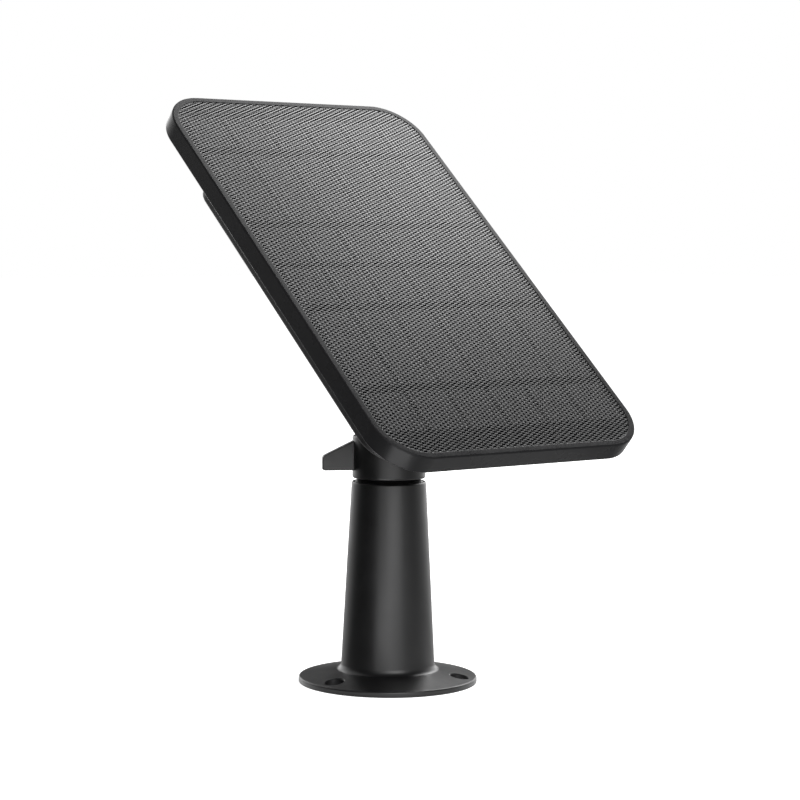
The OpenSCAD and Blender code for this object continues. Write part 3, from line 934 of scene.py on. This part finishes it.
@dataclass
class ClampRing:
    """Ring that clamps the ball, with one wing to turn it by."""

    low_z: float = 73.4
    high_z: float = 88.55
    outer_r: float = 13.1
    edge: float = 0.7
    bore_r: float = 10.7
    lip_low_z: float = 82.65
    lip_high_z: float = 86.15
    lip_sphere_r: float = 8.05
    mouth_r: float = 10.02
    wing_turn: float = 151.3
    wing_t: float = 3.2
    wing_in: float = 11.8
    wing_out: float = 24.1
    wing_z: float = 76.25
    wing_root_z: float = 87.38
    wing_tip_z: float = 81.4
    wing_end: float = 0.9
    wing_edge: float = 0.4
    mouth_edge: float = 0.35
    bore_edge: float = 0.3
    mouth_flat: float = 0.5

    def outline(self) -> Outline:
        """Closed profile of the ring.

        Returns:
            Points of radius and height.
        """
        start = math.degrees(math.asin((self.lip_high_z - BALL_Z) / self.lip_sphere_r))
        end = math.degrees(math.asin((self.lip_low_z - BALL_Z) / self.lip_sphere_r))
        points = arc(self.outer_r - self.edge, self.low_z + self.edge, self.edge, -90, 0, 6)
        points += arc(self.outer_r - self.edge, self.high_z - self.edge, self.edge, 0, 90, 6)
        mouth = self.mouth_edge
        points += arc(self.mouth_r + self.mouth_flat, self.high_z - mouth, mouth, 90, 135, 3)
        points += arc(0, BALL_Z, self.lip_sphere_r, start, end, 6)
        points += [(self.bore_r, self.lip_low_z), (self.bore_r, self.low_z + self.bore_edge)]
        points += [(self.bore_r + self.bore_edge, self.low_z)]
        return supported(points)

    def wing(self) -> Object:
        """Models the wing: a bar along X whose top falls to its tip.

        Returns:
            The wing, turned to its place.
        """
        clear_selection()
        middle = ((self.wing_in + self.wing_out) / 2 * MM, 0, (self.wing_z + self.wing_root_z) / 2 * MM)
        bpy.ops.mesh.primitive_cube_add(size=1, location=middle)
        long = (self.wing_out - self.wing_in) * MM
        bpy.context.object.scale = (long, self.wing_t * MM, (self.wing_root_z - self.wing_z) * MM)
        piece = take("wing")
        with editing(piece):
            tip = self.wing_out * MM
            pick(piece, Part.VERT, lambda vert: vert.co.x > tip - NEAR and level(self.wing_root_z, vert))
            bpy.ops.transform.translate(value=(0, 0, (self.wing_tip_z - self.wing_root_z) * MM))
            pick(
                piece,
                Part.EDGE,
                lambda edge: min(vert.co.x for vert in edge.verts) > tip - NEAR
                and edge.verts[0].co.y * edge.verts[1].co.y < 0,
            )
            bpy.ops.mesh.bevel(offset=self.wing_end * MM, segments=8, affect="EDGES")
            pick(
                piece,
                Part.EDGE,
                lambda edge: edge.verts[0].co.y * edge.verts[1].co.y > 0
                and max(vert.co.x for vert in edge.verts) > (self.wing_in + 0.1) * MM,
            )
            bpy.ops.mesh.bevel(offset=self.wing_edge * MM, segments=4, affect="EDGES")
        return seat(piece, Matrix.Rotation(math.radians(self.wing_turn), 4, "Z"))

    def build(self) -> None:
        """Models the ring with its wing and dresses it."""
        piece = turn("clamp_ring", self.outline(), 128, closed=True)
        combine(piece, self.wing(), Join.UNION)
        dress(piece, UPRIGHT, "clamp_ring", RING_PLASTIC, "lock_ring")


@dataclass
class BallJoint:
    """Ball with its threaded stud, along the stud's axis."""

    ball_r: float = 8.0
    stud_r: float = 3.175
    root_r: float = 2.45
    pitch: float = 1.27
    neck: float = 13.0
    tip: float = 36.1
    collar_r: float = 3.275
    collar_low: float = 0.3
    collar_high: float = 0.7
    collar_top: float = 0.8
    land: float = 0.6
    run_out: float = 0.6
    tip_edge: float = 0.4
    thread_sink: float = 0.15
    thread_lead: float = 0.2

    def build(self) -> None:
        """Models the ball and the stud and dresses them."""
        top = math.degrees(math.acos((self.stud_r + self.land) / self.ball_r))
        collar = self.ball_r * math.sin(math.radians(top))
        points = arc(0, 0, self.ball_r, -89, top, 40)
        points += [(self.collar_r, collar + rise) for rise in (self.collar_low, self.collar_high)]
        points += [(self.stud_r, collar + self.collar_top)]
        ball = turn("ball", points, 72)
        dress(ball, STUD_FRAME, "ball_joint", BALL_FINISH, "ball")
        rod = [(self.root_r, collar), (self.stud_r, collar), (self.stud_r, self.neck - self.run_out)]
        rod += [(self.root_r, self.neck), (self.root_r, self.tip - self.tip_edge)]
        rod += [(self.root_r - self.tip_edge, self.tip)]
        stud = turn("stud", supported(rod), 40)
        turns = int((self.tip - self.neck - self.run_out) / self.pitch)
        root, low = self.root_r - self.thread_sink, self.neck - self.thread_lead
        combine(stud, helix("stud_thread", root, self.stud_r, self.pitch, low, turns), Join.UNION)
        dress(stud, STUD_FRAME, "ball_joint", STEEL, "ball_stud")


@dataclass
class JamWheel:
    """Scalloped wheel on the stud and the rubber washer above it."""

    low: float = 19.5
    high: float = 23.5
    radius: float = 11.0
    bore: float = 3.225
    scallops: int = 18
    depth: float = 0.7
    washer_low: float = 23.6
    washer_high: float = 25.1
    washer_bore: float = 3.425
    phases: int = 8
    groove_in: float = 6.0
    groove_out: float = 9.2
    groove_h: float = 0.6
    edge: float = 0.4
    bore_edge: float = 0.3
    rim_in: float = 10.2
    rim_foot: float = 0.1
    groove_in_draft: float = 0.3
    groove_out_draft: float = 0.2
    scallop_power: float = 0.8
    washer_edge: float = 0.1

    def build_wheel(self) -> None:
        """Models the wheel: turned, then its rim drawn in at each scallop."""
        broken, rim, step = self.bore_edge, self.radius - self.edge, self.low + self.groove_h
        points = [(self.bore, self.low + broken), (self.bore + broken, self.low), (self.groove_in, self.low)]
        points += [(self.groove_in + self.groove_in_draft, step)]
        points += [(self.groove_out - self.groove_out_draft, step), (self.groove_out, self.low)]
        points += [(rim - self.rim_foot, self.low)]
        points += arc(rim, self.low + self.edge, self.edge, -45, 0, 2)
        points += arc(rim, self.high - self.edge, self.edge, 0, 90, 4)
        points += [(self.bore + broken, self.high), (self.bore, self.high - broken)]
        wheel = turn("jam_wheel", supported(points), self.scallops * self.phases, closed=True)
        with editing(wheel):
            for phase in range(1, self.phases):
                bend = max(0.0, math.sin(math.pi * (phase - 1) / (self.phases - 2)))
                dip = self.depth * bend**self.scallop_power
                pick(wheel, Part.VERT, lambda vert: self.phase_of(vert) == phase)
                shrink = 1 - dip / self.radius
                bpy.ops.transform.resize(value=(shrink, shrink, 1), center_override=(0, 0, 0))
        dress(wheel, STUD_FRAME, "jam_wheel", WHEEL_PLASTIC, "lock_wheel", angle=40)

    def phase_of(self, vert: BMVert) -> int:
        """Finds a rim point's place within its scallop.

        Args:
            vert: A point of the wheel.

        Returns:
            The place, or zero for a point inside the rim.
        """
        share = math.atan2(vert.co.y, vert.co.x) / math.tau
        on_rim = vert.co.xy.length > self.rim_in * MM
        return round(share * self.scallops * self.phases) % self.phases if on_rim else 0

    def build_washer(self) -> None:
        """Models the washer with its rolled edges."""
        low, high, bore, edge = self.washer_low, self.washer_high, self.washer_bore, self.washer_edge
        roll = (high - low) / 2 - edge
        points = [(bore, low + edge), (bore + edge, low)]
        points += arc(self.radius - roll, (low + high) / 2, roll, -90, 90, 8)
        points += [(bore + edge, high), (bore, high - edge)]
        washer = turn("washer", supported(points), 96, closed=True)
        dress(washer, STUD_FRAME, "panel", RUBBER, "rubber_washer")

    def build(self) -> None:
        """Models the wheel and the washer."""
        self.build_wheel()
        self.build_washer()


@dataclass
class PanelFrame:
    """Tray with rounded corners and a narrow bezel."""

    width: float = 113.8
    length: float = 183.9
    thick: float = 7.1
    corner: float = 17.0
    bezel: float = 2.55
    recess: float = 2.5
    wall: float = 2.2
    rear_floor: float = 4.4
    front_edge: float = 0.55
    inner_edge: float = 0.25
    rear_edge: float = 0.6
    wall_edge: float = 0.2
    tolerance: float = 0.05

    def on_outline(self, edge: BMEdge, height: float, inset: float) -> bool:
        """Says whether an edge runs along the outline at a height, at an inset from it."""
        depths = [inside(vert.co, self.width, self.length, self.corner) for vert in edge.verts]
        return level(height, *edge.verts) and all(abs(depth - inset) < self.tolerance for depth in depths)

    def build(self) -> None:
        """Models the tray: both faces inset and sunk, and its edges rounded."""
        piece = slab("panel_frame", self.width, self.length, -self.thick, 0, self.corner, steps=24)
        with editing(piece):
            pick(piece, Part.FACE, lambda face: face.normal.z > 0.99)
            bpy.ops.mesh.inset(thickness=self.bezel * MM)
            bpy.ops.mesh.extrude_region_move(TRANSFORM_OT_translate={"value": (0, 0, -self.recess * MM)})
            pick(piece, Part.FACE, lambda face: face.normal.z < -0.99)
            bpy.ops.mesh.inset(thickness=self.wall * MM)
            sink = (self.thick - self.rear_floor) * MM
            bpy.ops.mesh.extrude_region_move(TRANSFORM_OT_translate={"value": (0, 0, sink)})
            for height, inset, radius, steps in (
                (0.0, 0.0, self.front_edge, 7),
                (0.0, self.bezel, self.inner_edge, 4),
                (-self.thick, 0.0, self.rear_edge, 5),
                (-self.thick, self.wall, self.wall_edge, 2),
            ):
                pick(piece, Part.EDGE, lambda edge: self.on_outline(edge, height, inset))
                bpy.ops.mesh.bevel(offset=radius * MM, segments=steps, affect="EDGES")
            face_outwards()
        dress(piece, PANEL_FRAME, "panel", FRAME_PLASTIC, "panel_frame")


@dataclass
class FrontFilm:
    """Front film with an egg-crate emboss of dimples in staggered rows."""

    width: float = FILM_W
    length: float = FILM_L
    corner: float = 14.43
    face: float = 0.12
    under: float = 0.8
    across: int = FILM_COLUMNS
    along: int = FILM_ROWS
    peak_h: float = 0.02
    pit_h: float = 0.09
    plain_edge: float = 0.6

    def spot(self, vert: BMVert) -> tuple[int, int]:
        """Finds a grid point's column and row.

        Args:
            vert: The grid point.

        Returns:
            The column and the row, counted from one corner.
        """
        column = round((vert.co.x / (self.width * MM) + 0.5) * self.across)
        row = round((vert.co.y / (self.length * MM) + 0.5) * self.along)
        return column, row

    def peak(self, vert: BMVert, sign: int) -> bool:
        """Says whether a grid point is a peak or a pit of the emboss.

        Args:
            vert: The grid point.
            sign: 0 for peaks, 1 for pits.

        Returns:
            Whether the point is one, well inside the film's edge.
        """
        column, row = self.spot(vert)
        if column % 2 or row % 2 or (column + row) // 2 % 2 != sign:
            return False
        return inside(vert.co, self.width, self.length, self.corner) > self.plain_edge

    def round_corners(self, piece: Object) -> None:
        """Removes the faces outside the rounded corners and draws the edge onto the arc.

        Args:
            piece: The film's grid, open in edit mode.
        """
        sizes = (self.width, self.length, self.corner)
        pick(piece, Part.FACE, lambda face: inside(face.calc_center_median(), *sizes) < 0.0)
        bpy.ops.mesh.delete(type="FACE")
        mesh = bmesh.from_edit_mesh(piece.data)
        for vert in mesh.verts:
            x = abs(vert.co.x) - (self.width / 2 - self.corner) * MM
            y = abs(vert.co.y) - (self.length / 2 - self.corner) * MM
            if vert.is_boundary and x > NEAR and y > NEAR:
                grow = self.corner * MM / math.hypot(x, y) - 1
                vert.co.x += math.copysign(x * grow, vert.co.x)
                vert.co.y += math.copysign(y * grow, vert.co.y)
        bmesh.update_edit_mesh(piece.data)

    def build(self) -> None:
        """Models the film: a fine grid, embossed, with its edge turned down and its underside closed."""
        clear_selection()
        high = -(self.face + self.peak_h) * MM
        bpy.ops.mesh.primitive_grid_add(
            x_subdivisions=self.across, y_subdivisions=self.along, size=1, location=(0, 0, high)
        )
        bpy.context.object.scale = (self.width * MM, self.length * MM, 1)
        piece = take("front_film")
        with editing(piece):
            self.round_corners(piece)
            for sign, lift in ((0, self.peak_h), (1, -self.pit_h)):
                pick(piece, Part.VERT, lambda vert: self.peak(vert, sign))
                bpy.ops.transform.translate(value=(0, 0, lift * MM))
            pick(piece, Part.EDGE, lambda edge: edge.is_boundary)
            drop = (0, 0, -(self.under - self.face - self.peak_h) * MM)
            bpy.ops.mesh.extrude_edges_move(TRANSFORM_OT_translate={"value": drop})
            bpy.ops.mesh.edge_face_add()
            face_outwards()
        dress(piece, PANEL_FRAME, "panel", FRONT_FILM, "front_film", angle=60, weighted=False)


@dataclass
class RearCover:
    """Rear housing with its flange and hub, its screws and the cord's gland."""

    flange_w: float = 109.1
    flange_l: float = 179.2
    flange_corner: float = 14.65
    flange_top: float = 5.5
    flange_low: float = 7.1
    box_w: float = 104.8
    box_l: float = 140.1
    box_y: float = -12.1
    box_head: float = 9.0
    box_foot: float = 13.0
    box_low: float = 13.7
    box_edge: float = 1.2
    shell: float = 1.8
    hollow_top: float = 4.6
    hub_root_r: float = 18.0
    hub_end_r: float = 12.5
    hub_end: float = 28.1
    insert_r: float = 4.82
    insert_top: float = 17.1
    stud_r: float = 3.425
    stud_top: float = 16.1
    screw_x: float = 44.4
    screw_ys: tuple[float, ...] = (49.95, -12.1, -74.15)
    screw_recess_r: float = 2.25
    screw_seat: float = 11.2
    screw_r: float = 1.0
    screw_tip: float = 2.6
    head_r: float = 2.0
    head_h: float = 0.6
    dome_r: float = 2.9
    cross: Range = (2.3, 0.5)
    gland_x: float = 36.0
    gland_y: float = -68.15
    gland_r: float = 3.2
    lip_r: float = 4.8
    lip_t: float = 1.5
    lip_roll: float = 0.6
    cord_r: float = 1.8
    wall_t: float = 1.8
    insert_edge: float = 0.4
    hub_edge: float = 0.8
    hub_edge_in: float = 0.6
    hub_edge_turn: float = 12.0
    hub_fillet: float = 2.0
    hub_fillet_out: float = 1.6
    hub_sunk: float = 0.6
    recess_edge: float = 0.25
    recess_over: float = 0.35
    gland_cut: Range = (-1.0, 3.0)
    screw_point: Range = (0.5, 0.8)
    dome_z: float = 1.4
    dome_turn: Range = (-46.4, -88.0)
    cross_ends: Range = (-2.0, -0.7)
    cross_corner: float = 0.12
    lip_side: float = 0.7
    roll_z: float = 0.9
    dish_r: float = 2.5
    throat_r: float = 2.2
    throat_z: float = 1.3
    mouth_z: float = 1.2

    def screw_places(self) -> list[Matrix]:
        """Places of the screws on the panel."""
        return [shift(side * self.screw_x, y) for side in (-1, 1) for y in self.screw_ys]

    def housing(self) -> Object:
        """Models the flange and the raised box, with its rear edge rounded.

        Returns:
            The housing, still solid.
        """
        top, low, shell, place = -self.flange_top, -self.box_low, self.shell, shift(0, self.box_y)
        box = slab("box", self.box_w, self.box_l, low, top, self.box_head, self.box_foot)
        with editing(box):
            pick(box, Part.EDGE, lambda edge: level(low, *edge.verts))
            bpy.ops.mesh.bevel(offset=self.box_edge * MM, segments=6, affect="EDGES")
        seat(box, place)
        flange = slab("rear_cover", self.flange_w, self.flange_l, -self.flange_low, top, self.flange_corner)
        combine(flange, box, Join.UNION)
        sizes = (self.box_w - 2 * shell, self.box_l - 2 * shell, low + shell, -self.hollow_top)
        hollow = slab("hollow", *sizes, self.box_head - shell, self.box_foot - shell)
        combine(flange, seat(hollow, place), Join.CUT)
        return flange

    def hub(self) -> Object:
        """Models the hub with its fillet, rounded end and bore.

        Returns:
            The hub, in place on the panel.
        """
        lean = math.degrees(math.atan((self.hub_root_r - self.hub_end_r) / (self.hub_end - self.box_low)))
        points = [(self.stud_r, -self.stud_top), (self.stud_r, -self.insert_top)]
        points += [(self.insert_r, -self.insert_top), (self.insert_r, self.insert_edge - self.hub_end)]
        points += [(self.insert_r + self.insert_edge, -self.hub_end)]
        edge, fillet, foot = self.hub_edge, self.hub_fillet, self.hub_root_r + self.hub_fillet_out
        points += arc(
            self.hub_end_r - self.hub_edge_in, edge - self.hub_end, edge, -90, lean - self.hub_edge_turn, 5
        )
        points += arc(foot, -self.box_low - fillet, fillet, 180 - lean, 90, 8)
        points += [(foot, self.hub_sunk - self.box_low)]
        return seat(turn("hub", supported(points), 96), shift(0, -PANEL_UP))

    def build_cover(self) -> None:
        """Models the cover: housing, hub, screw recesses and the gland's hole."""
        piece = self.housing()
        combine(piece, self.hub(), Join.UNION)
        low, radius = -self.box_low, self.screw_recess_r
        edge, over = self.recess_edge, self.recess_over
        sink = [(radius, -self.screw_seat), (radius, low + edge), (radius + edge + over, low - over)]
        for place in self.screw_places():
            combine(piece, seat(turn("sink", sink, 32), place), Join.CUT)
        hole = turn("hole", [(self.gland_r, low + end) for end in self.gland_cut], 32)
        combine(piece, seat(hole, shift(self.gland_x, self.gland_y)), Join.CUT)
        dress(piece, PANEL_FRAME, "panel", COVER_PLASTIC, "rear_cover")

    def build_screws(self) -> None:
        """Models one cross-recess screw and copies it to its six places."""
        low, tip, shank = -self.screw_seat, -self.screw_tip, self.screw_r
        narrow, taper = self.screw_point
        points = [(shank - narrow, tip), (shank, tip - taper), (shank, low)]
        points += [(self.head_r, low), (self.head_r, low - self.head_h)]
        points += arc(0, low + self.dome_z, self.dome_r, *self.dome_turn, 6)
        screw = turn("cover_screws", points, 32)
        ends = [low + end for end in self.cross_ends]
        for width, depth in (self.cross, self.cross[::-1]):
            combine(screw, slab("cross", width, depth, *ends, self.cross_corner, steps=2), Join.CUT)
        first, *others = self.screw_places()
        copies = [copy_of(screw, place) for place in others]
        piece = gather([seat(screw, first), *copies])
        dress(piece, PANEL_FRAME, "panel", STEEL, "cover_screws")

    def build_gland(self) -> None:
        """Models the gland with its two lips and rolled rim."""
        out, lip, roll = -self.box_low, self.lip_r, self.lip_roll
        inner = out + self.wall_t
        points = [(self.cord_r, inner + self.lip_t), (lip, inner + self.lip_t), (lip, inner)]
        points += [(self.gland_r, inner), (self.gland_r, out), (lip, out)]
        points += [(lip, out - self.lip_side)]
        points += arc(lip - roll, out - self.roll_z, roll, 20, -90, 5)
        points += [(self.dish_r, out - self.lip_t), (self.throat_r, out - self.throat_z)]
        points += [(self.cord_r, out - self.mouth_z)]
        gland = turn("gland", supported(points), 48, closed=True)
        place = PANEL_FRAME @ shift(self.gland_x, self.gland_y)
        dress(gland, place, "panel", RUBBER, "cable_gland")

    def build(self) -> None:
        """Models the cover, its screws and the gland."""
        self.build_cover()
        self.build_screws()
        self.build_gland()


@dataclass
class Inside:
    """The solids that keep their own shape, each with its finish."""

    cells: int = 12

    def finishes(self) -> dict[str, Finish]:
        """Finish of each solid.

        Returns:
            Solid names and their finishes.
        """
        finishes: dict[str, Finish] = {
            "ball_seat": CUP_PLASTIC,
            "cell_ribbons": RIBBON,
            "back_sheet": BACK_SHEET,
            "bonding_tape": FOAM_TAPE,
            "cover_gasket": RUBBER,
            "threaded_insert": BRASS,
            "regulator_board": LAMINATE,
            "board_screws": STEEL,
            "inductor": FERRITE,
            "capacitors": CAN_ALUMINIUM,
            "regulator_chip": CHIP_PLASTIC,
            "diode": CHIP_PLASTIC,
            "output_header": HEADER_PLASTIC,
            "positive_lead": RED_LEAD,
            "negative_lead": BLACK_LEAD,
        }
        return finishes | {f"solar_cell_{number}": CELL_SILICON for number in range(1, self.cells + 1)}

    def build(self, nodes: dict[str, Object]) -> None:
        """Gives each solid its finish.

        Args:
            nodes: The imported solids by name.
        """
        made: dict[str, Material] = {}
        for name, finish in self.finishes().items():
            if finish.name not in made:
                made[finish.name] = finish.material()
            node = nodes[name]
            node.data.materials.clear()
            node.data.materials.append(made[finish.name])
            LOG.info("%s: %s", name, finish.name)


@dataclass(frozen=True)
class Softbox:
    """One soft studio lamp."""

    name: str
    place: tuple[float, float, float]
    size: tuple[float, float]
    radiance: float

    def build(self, target: Vector) -> None:
        """Hangs the lamp and turns it to the object.

        Args:
            target: The point that it faces.
        """
        data = bpy.data.lights.new(self.name, "AREA")
        data.shape = "RECTANGLE"
        data.size, data.size_y = self.size
        data.energy = math.pi * self.size[0] * self.size[1] * self.radiance
        lamp = bpy.data.objects.new(self.name, data)
        bpy.context.scene.collection.objects.link(lamp)
        lamp.location = self.place
        lamp.rotation_euler = (target - Vector(self.place)).to_track_quat("-Z", "Y").to_euler()


@dataclass(frozen=True)
class Card:
    """Dark or bright studio card, bent round the object, which shows only in its gloss."""

    name: str
    start: float
    end: float
    first_level: float
    last_level: float
    inner: tuple[float, float]
    outer: tuple[float, float]

    def build(self, right: Vector, near: Vector) -> None:
        """Sets the card in its place: a circle extruded from the inner to the outer edge, then cut.

        Args:
            right: Direction to the camera's right, level.
            near: Direction from the object to the camera, level.
        """
        clear_selection()
        bpy.ops.mesh.primitive_circle_add(vertices=180, radius=self.inner[0], location=(0, 0, self.inner[1]))
        card = take(self.name)

        def outside(face: BMFace) -> bool:
            """Says whether a face lies outside the card's angles.

            Args:
                face: A face of the whole ring.

            Returns:
                Whether its bearing, counted from the camera to its right, is outside them.
            """
            middle = face.calc_center_median()
            bearing = math.degrees(math.atan2(middle.dot(right), middle.dot(near)))
            return not min(self.start, self.end) < bearing < max(self.start, self.end)

        with editing(card):
            bpy.ops.mesh.select_all(action="SELECT")
            draw_up(self.outer[1] - self.inner[1], self.outer[0] / self.inner[0], self.outer[1])
            pick(card, Part.FACE, outside)
            bpy.ops.mesh.delete(type="FACE")
        sketch = Sketch(self.name)
        bearing = sketch.math("ARCTAN2", *(sketch.along(sketch.place, axis) for axis in (right, near)))
        ends = (math.radians(self.start), math.radians(self.end))
        sketch.drive("Emission Strength", sketch.remap(bearing, self.first_level, self.last_level, *ends))
        sketch.set(Base_Color=BLACK, Emission_Color=WHITE, Specular_IOR_Level=0.0)
        card.data.materials.append(sketch.material)
        for ray in ("camera", "diffuse", "transmission", "shadow"):
            setattr(card, "visible_" + ray, False)


@dataclass
class Studio:
    """Camera, pale floor, white backdrop, soft lamps and studio cards."""

    eye: tuple[float, float, float] = (-0.517444, -0.653073, 0.161322)
    right: tuple[float, float, float] = (0.781268, -0.624160, 0.006706)
    up: tuple[float, float, float] = (0.039703, 0.060412, 0.997384)
    ahead: tuple[float, float, float] = (0.622932, 0.778957, -0.071979)
    lens: float = 105.427
    target: tuple[float, float, float] = (0.0, 0.0, 0.12)
    floor_size: float = 12.0
    floor_colour: Colour = (0.8, 0.8, 0.8)
    floor_glow: float = 0.8
    fill: float = 0.5
    lamps: tuple[Softbox, ...] = (
        Softbox("front_softbox", (-0.371, -0.95, 0.42), (0.72, 0.84), 6.3),
        Softbox("right_softbox", (0.68, 0.355, 0.706), (0.5, 0.63), 7.4),
    )
    cards: tuple[Card, ...] = (
        Card("left_card", -32, -95, 0.0, 0.03, (0.7, 0.002), (0.7, 0.95)),
        Card("rear_left_card", -95, -163, 0.1, 3.4, (0.7, 0.002), (0.7, 0.45)),
        Card("back_left_card", -163, -180, 0.05, 0.05, (0.7, 0.002), (0.7, 0.55)),
        Card("back_right_card", 180, 165, 0.08, 0.08, (0.7, 0.002), (0.7, 0.55)),
        Card("rear_right_card", 165, 105, 3.4, 1.3, (0.7, 0.002), (0.7, 0.35)),
        Card("right_card", 62, 92, 0.6, 0.6, (0.7, 0.002), (0.7, 0.3)),
        Card("dark_right", 50, 110, 0.03, 0.03, (0.7, 0.3), (0.7, 0.95)),
        Card("left_table", -28, -112, 0.03, 0.06, (0.04, 0.001), (0.7, 0.001)),
        Card("rear_left_table", -112, -180, 0.6, 1.0, (0.04, 0.001), (0.7, 0.001)),
        Card("right_table", 15, 125, 0.6, 0.6, (0.04, 0.001), (0.7, 0.001)),
        Card("rear_right_table", 125, 180, 0.8, 1.2, (0.04, 0.001), (0.7, 0.001)),
        Card("front_bounce", -28, 5, 11.0, 11.0, (0.1, 0.001), (0.2, 0.001)),
        Card("side_bounce", 25, 115, 1.3, 1.3, (0.045, 0.0015), (0.13, 0.0015)),
        Card("rim_bounce", -45, 45, 2.2, 2.2, (0.0335, 0.0006), (0.06, 0.0006)),
        Card("dark_overhead", 50, 141, 0.0, 0.05, (0.31, 1.39), (0.844, 1.12)),
        Card("dark_zenith", -180, 180, 0.05, 0.05, (0.01, 1.42), (0.3, 1.4)),
        Card("dark_left_overhead", -20, -110, 0.03, 0.03, (0.31, 1.39), (0.9, 1.05)),
        Card("bright_overhead", 147, 178, 3.0, 3.0, (0.445, 1.35), (0.836, 1.126)),
        Card("low_right_card", 95, 140, 1.6, 1.6, (0.97, 1.0), (1.15, 0.7)),
    )

    def build_camera(self) -> None:
        """Sets the camera at the photograph's place and angle."""
        data = bpy.data.cameras.new("camera")
        data.lens = self.lens
        data.sensor_width = 36.0
        camera = bpy.data.objects.new("camera", data)
        axes = Matrix((self.right, self.up, -Vector(self.ahead))).transposed().to_4x4()
        camera.matrix_world = Matrix.Translation(self.eye) @ axes
        bpy.context.scene.collection.objects.link(camera)
        bpy.context.scene.camera = camera

    def shown(self, nodes: Nodes) -> NodeSocket:
        """Marks the rays that show the white background: camera, glossy and transmission rays.

        Args:
            nodes: The nodes that need the mark.

        Returns:
            One for such a ray and zero otherwise.
        """
        path = nodes.node("LightPath").outputs
        seen = nodes.math("MAXIMUM", path["Is Camera Ray"], path["Is Glossy Ray"])
        return nodes.math("MAXIMUM", seen, path["Is Transmission Ray"])

    def build_floor(self) -> None:
        """Lays a pale floor that shows white but keeps the object's shadow."""
        clear_selection()
        bpy.ops.mesh.primitive_plane_add(size=self.floor_size)
        floor = take("floor")
        sketch = Sketch("floor")
        sketch.set(Base_Color=self.floor_colour, Roughness=1.0, Specular_IOR_Level=0.0, Emission_Color=WHITE)
        glow = sketch.math("MULTIPLY", self.shown(sketch), self.floor_glow)
        sketch.drive("Emission Strength", glow)
        floor.data.materials.append(sketch.material)

    def build_world(self) -> None:
        """Surrounds the object with a grey fill light behind a white backdrop."""
        world = bpy.data.worlds.new("studio")
        bpy.context.scene.world = world
        world.use_nodes = True
        nodes = Nodes(world.node_tree)
        lights = [nodes.node("Background", Color=(*WHITE, 1.0), Strength=power) for power in (self.fill, 1.0)]
        sources = [light.outputs[0] for light in lights]
        mix = nodes.node("MixShader", _0=self.shown(nodes), _1=sources[0], _2=sources[1])
        world.node_tree.links.new(mix.outputs[0], world.node_tree.nodes["World Output"].inputs["Surface"])

    def build(self) -> None:
        """Sets up the camera, the floor, the world, the lamps and the cards."""
        self.build_camera()
        self.build_floor()
        self.build_world()
        right = Vector((self.right[0], self.right[1], 0)).normalized()
        near = Vector((-self.ahead[0], -self.ahead[1], 0)).normalized()
        for card in self.cards:
            card.build(right, near)
        for lamp in self.lamps:
            lamp.build(Vector(self.target))
        bpy.context.scene.view_settings.view_transform = "Standard"


def main() -> None:
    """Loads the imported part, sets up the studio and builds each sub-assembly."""
    logging.basicConfig(level=logging.INFO, format="%(name)s: %(message)s")
    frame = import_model()
    Studio().build()
    PostStand().build()
    ClampRing().build()
    BallJoint().build()
    JamWheel().build()
    PanelFrame().build()
    FrontFilm().build()
    RearCover().build()
    Inside().build(frame["nodes"])


if __name__ == "__main__":
    main()
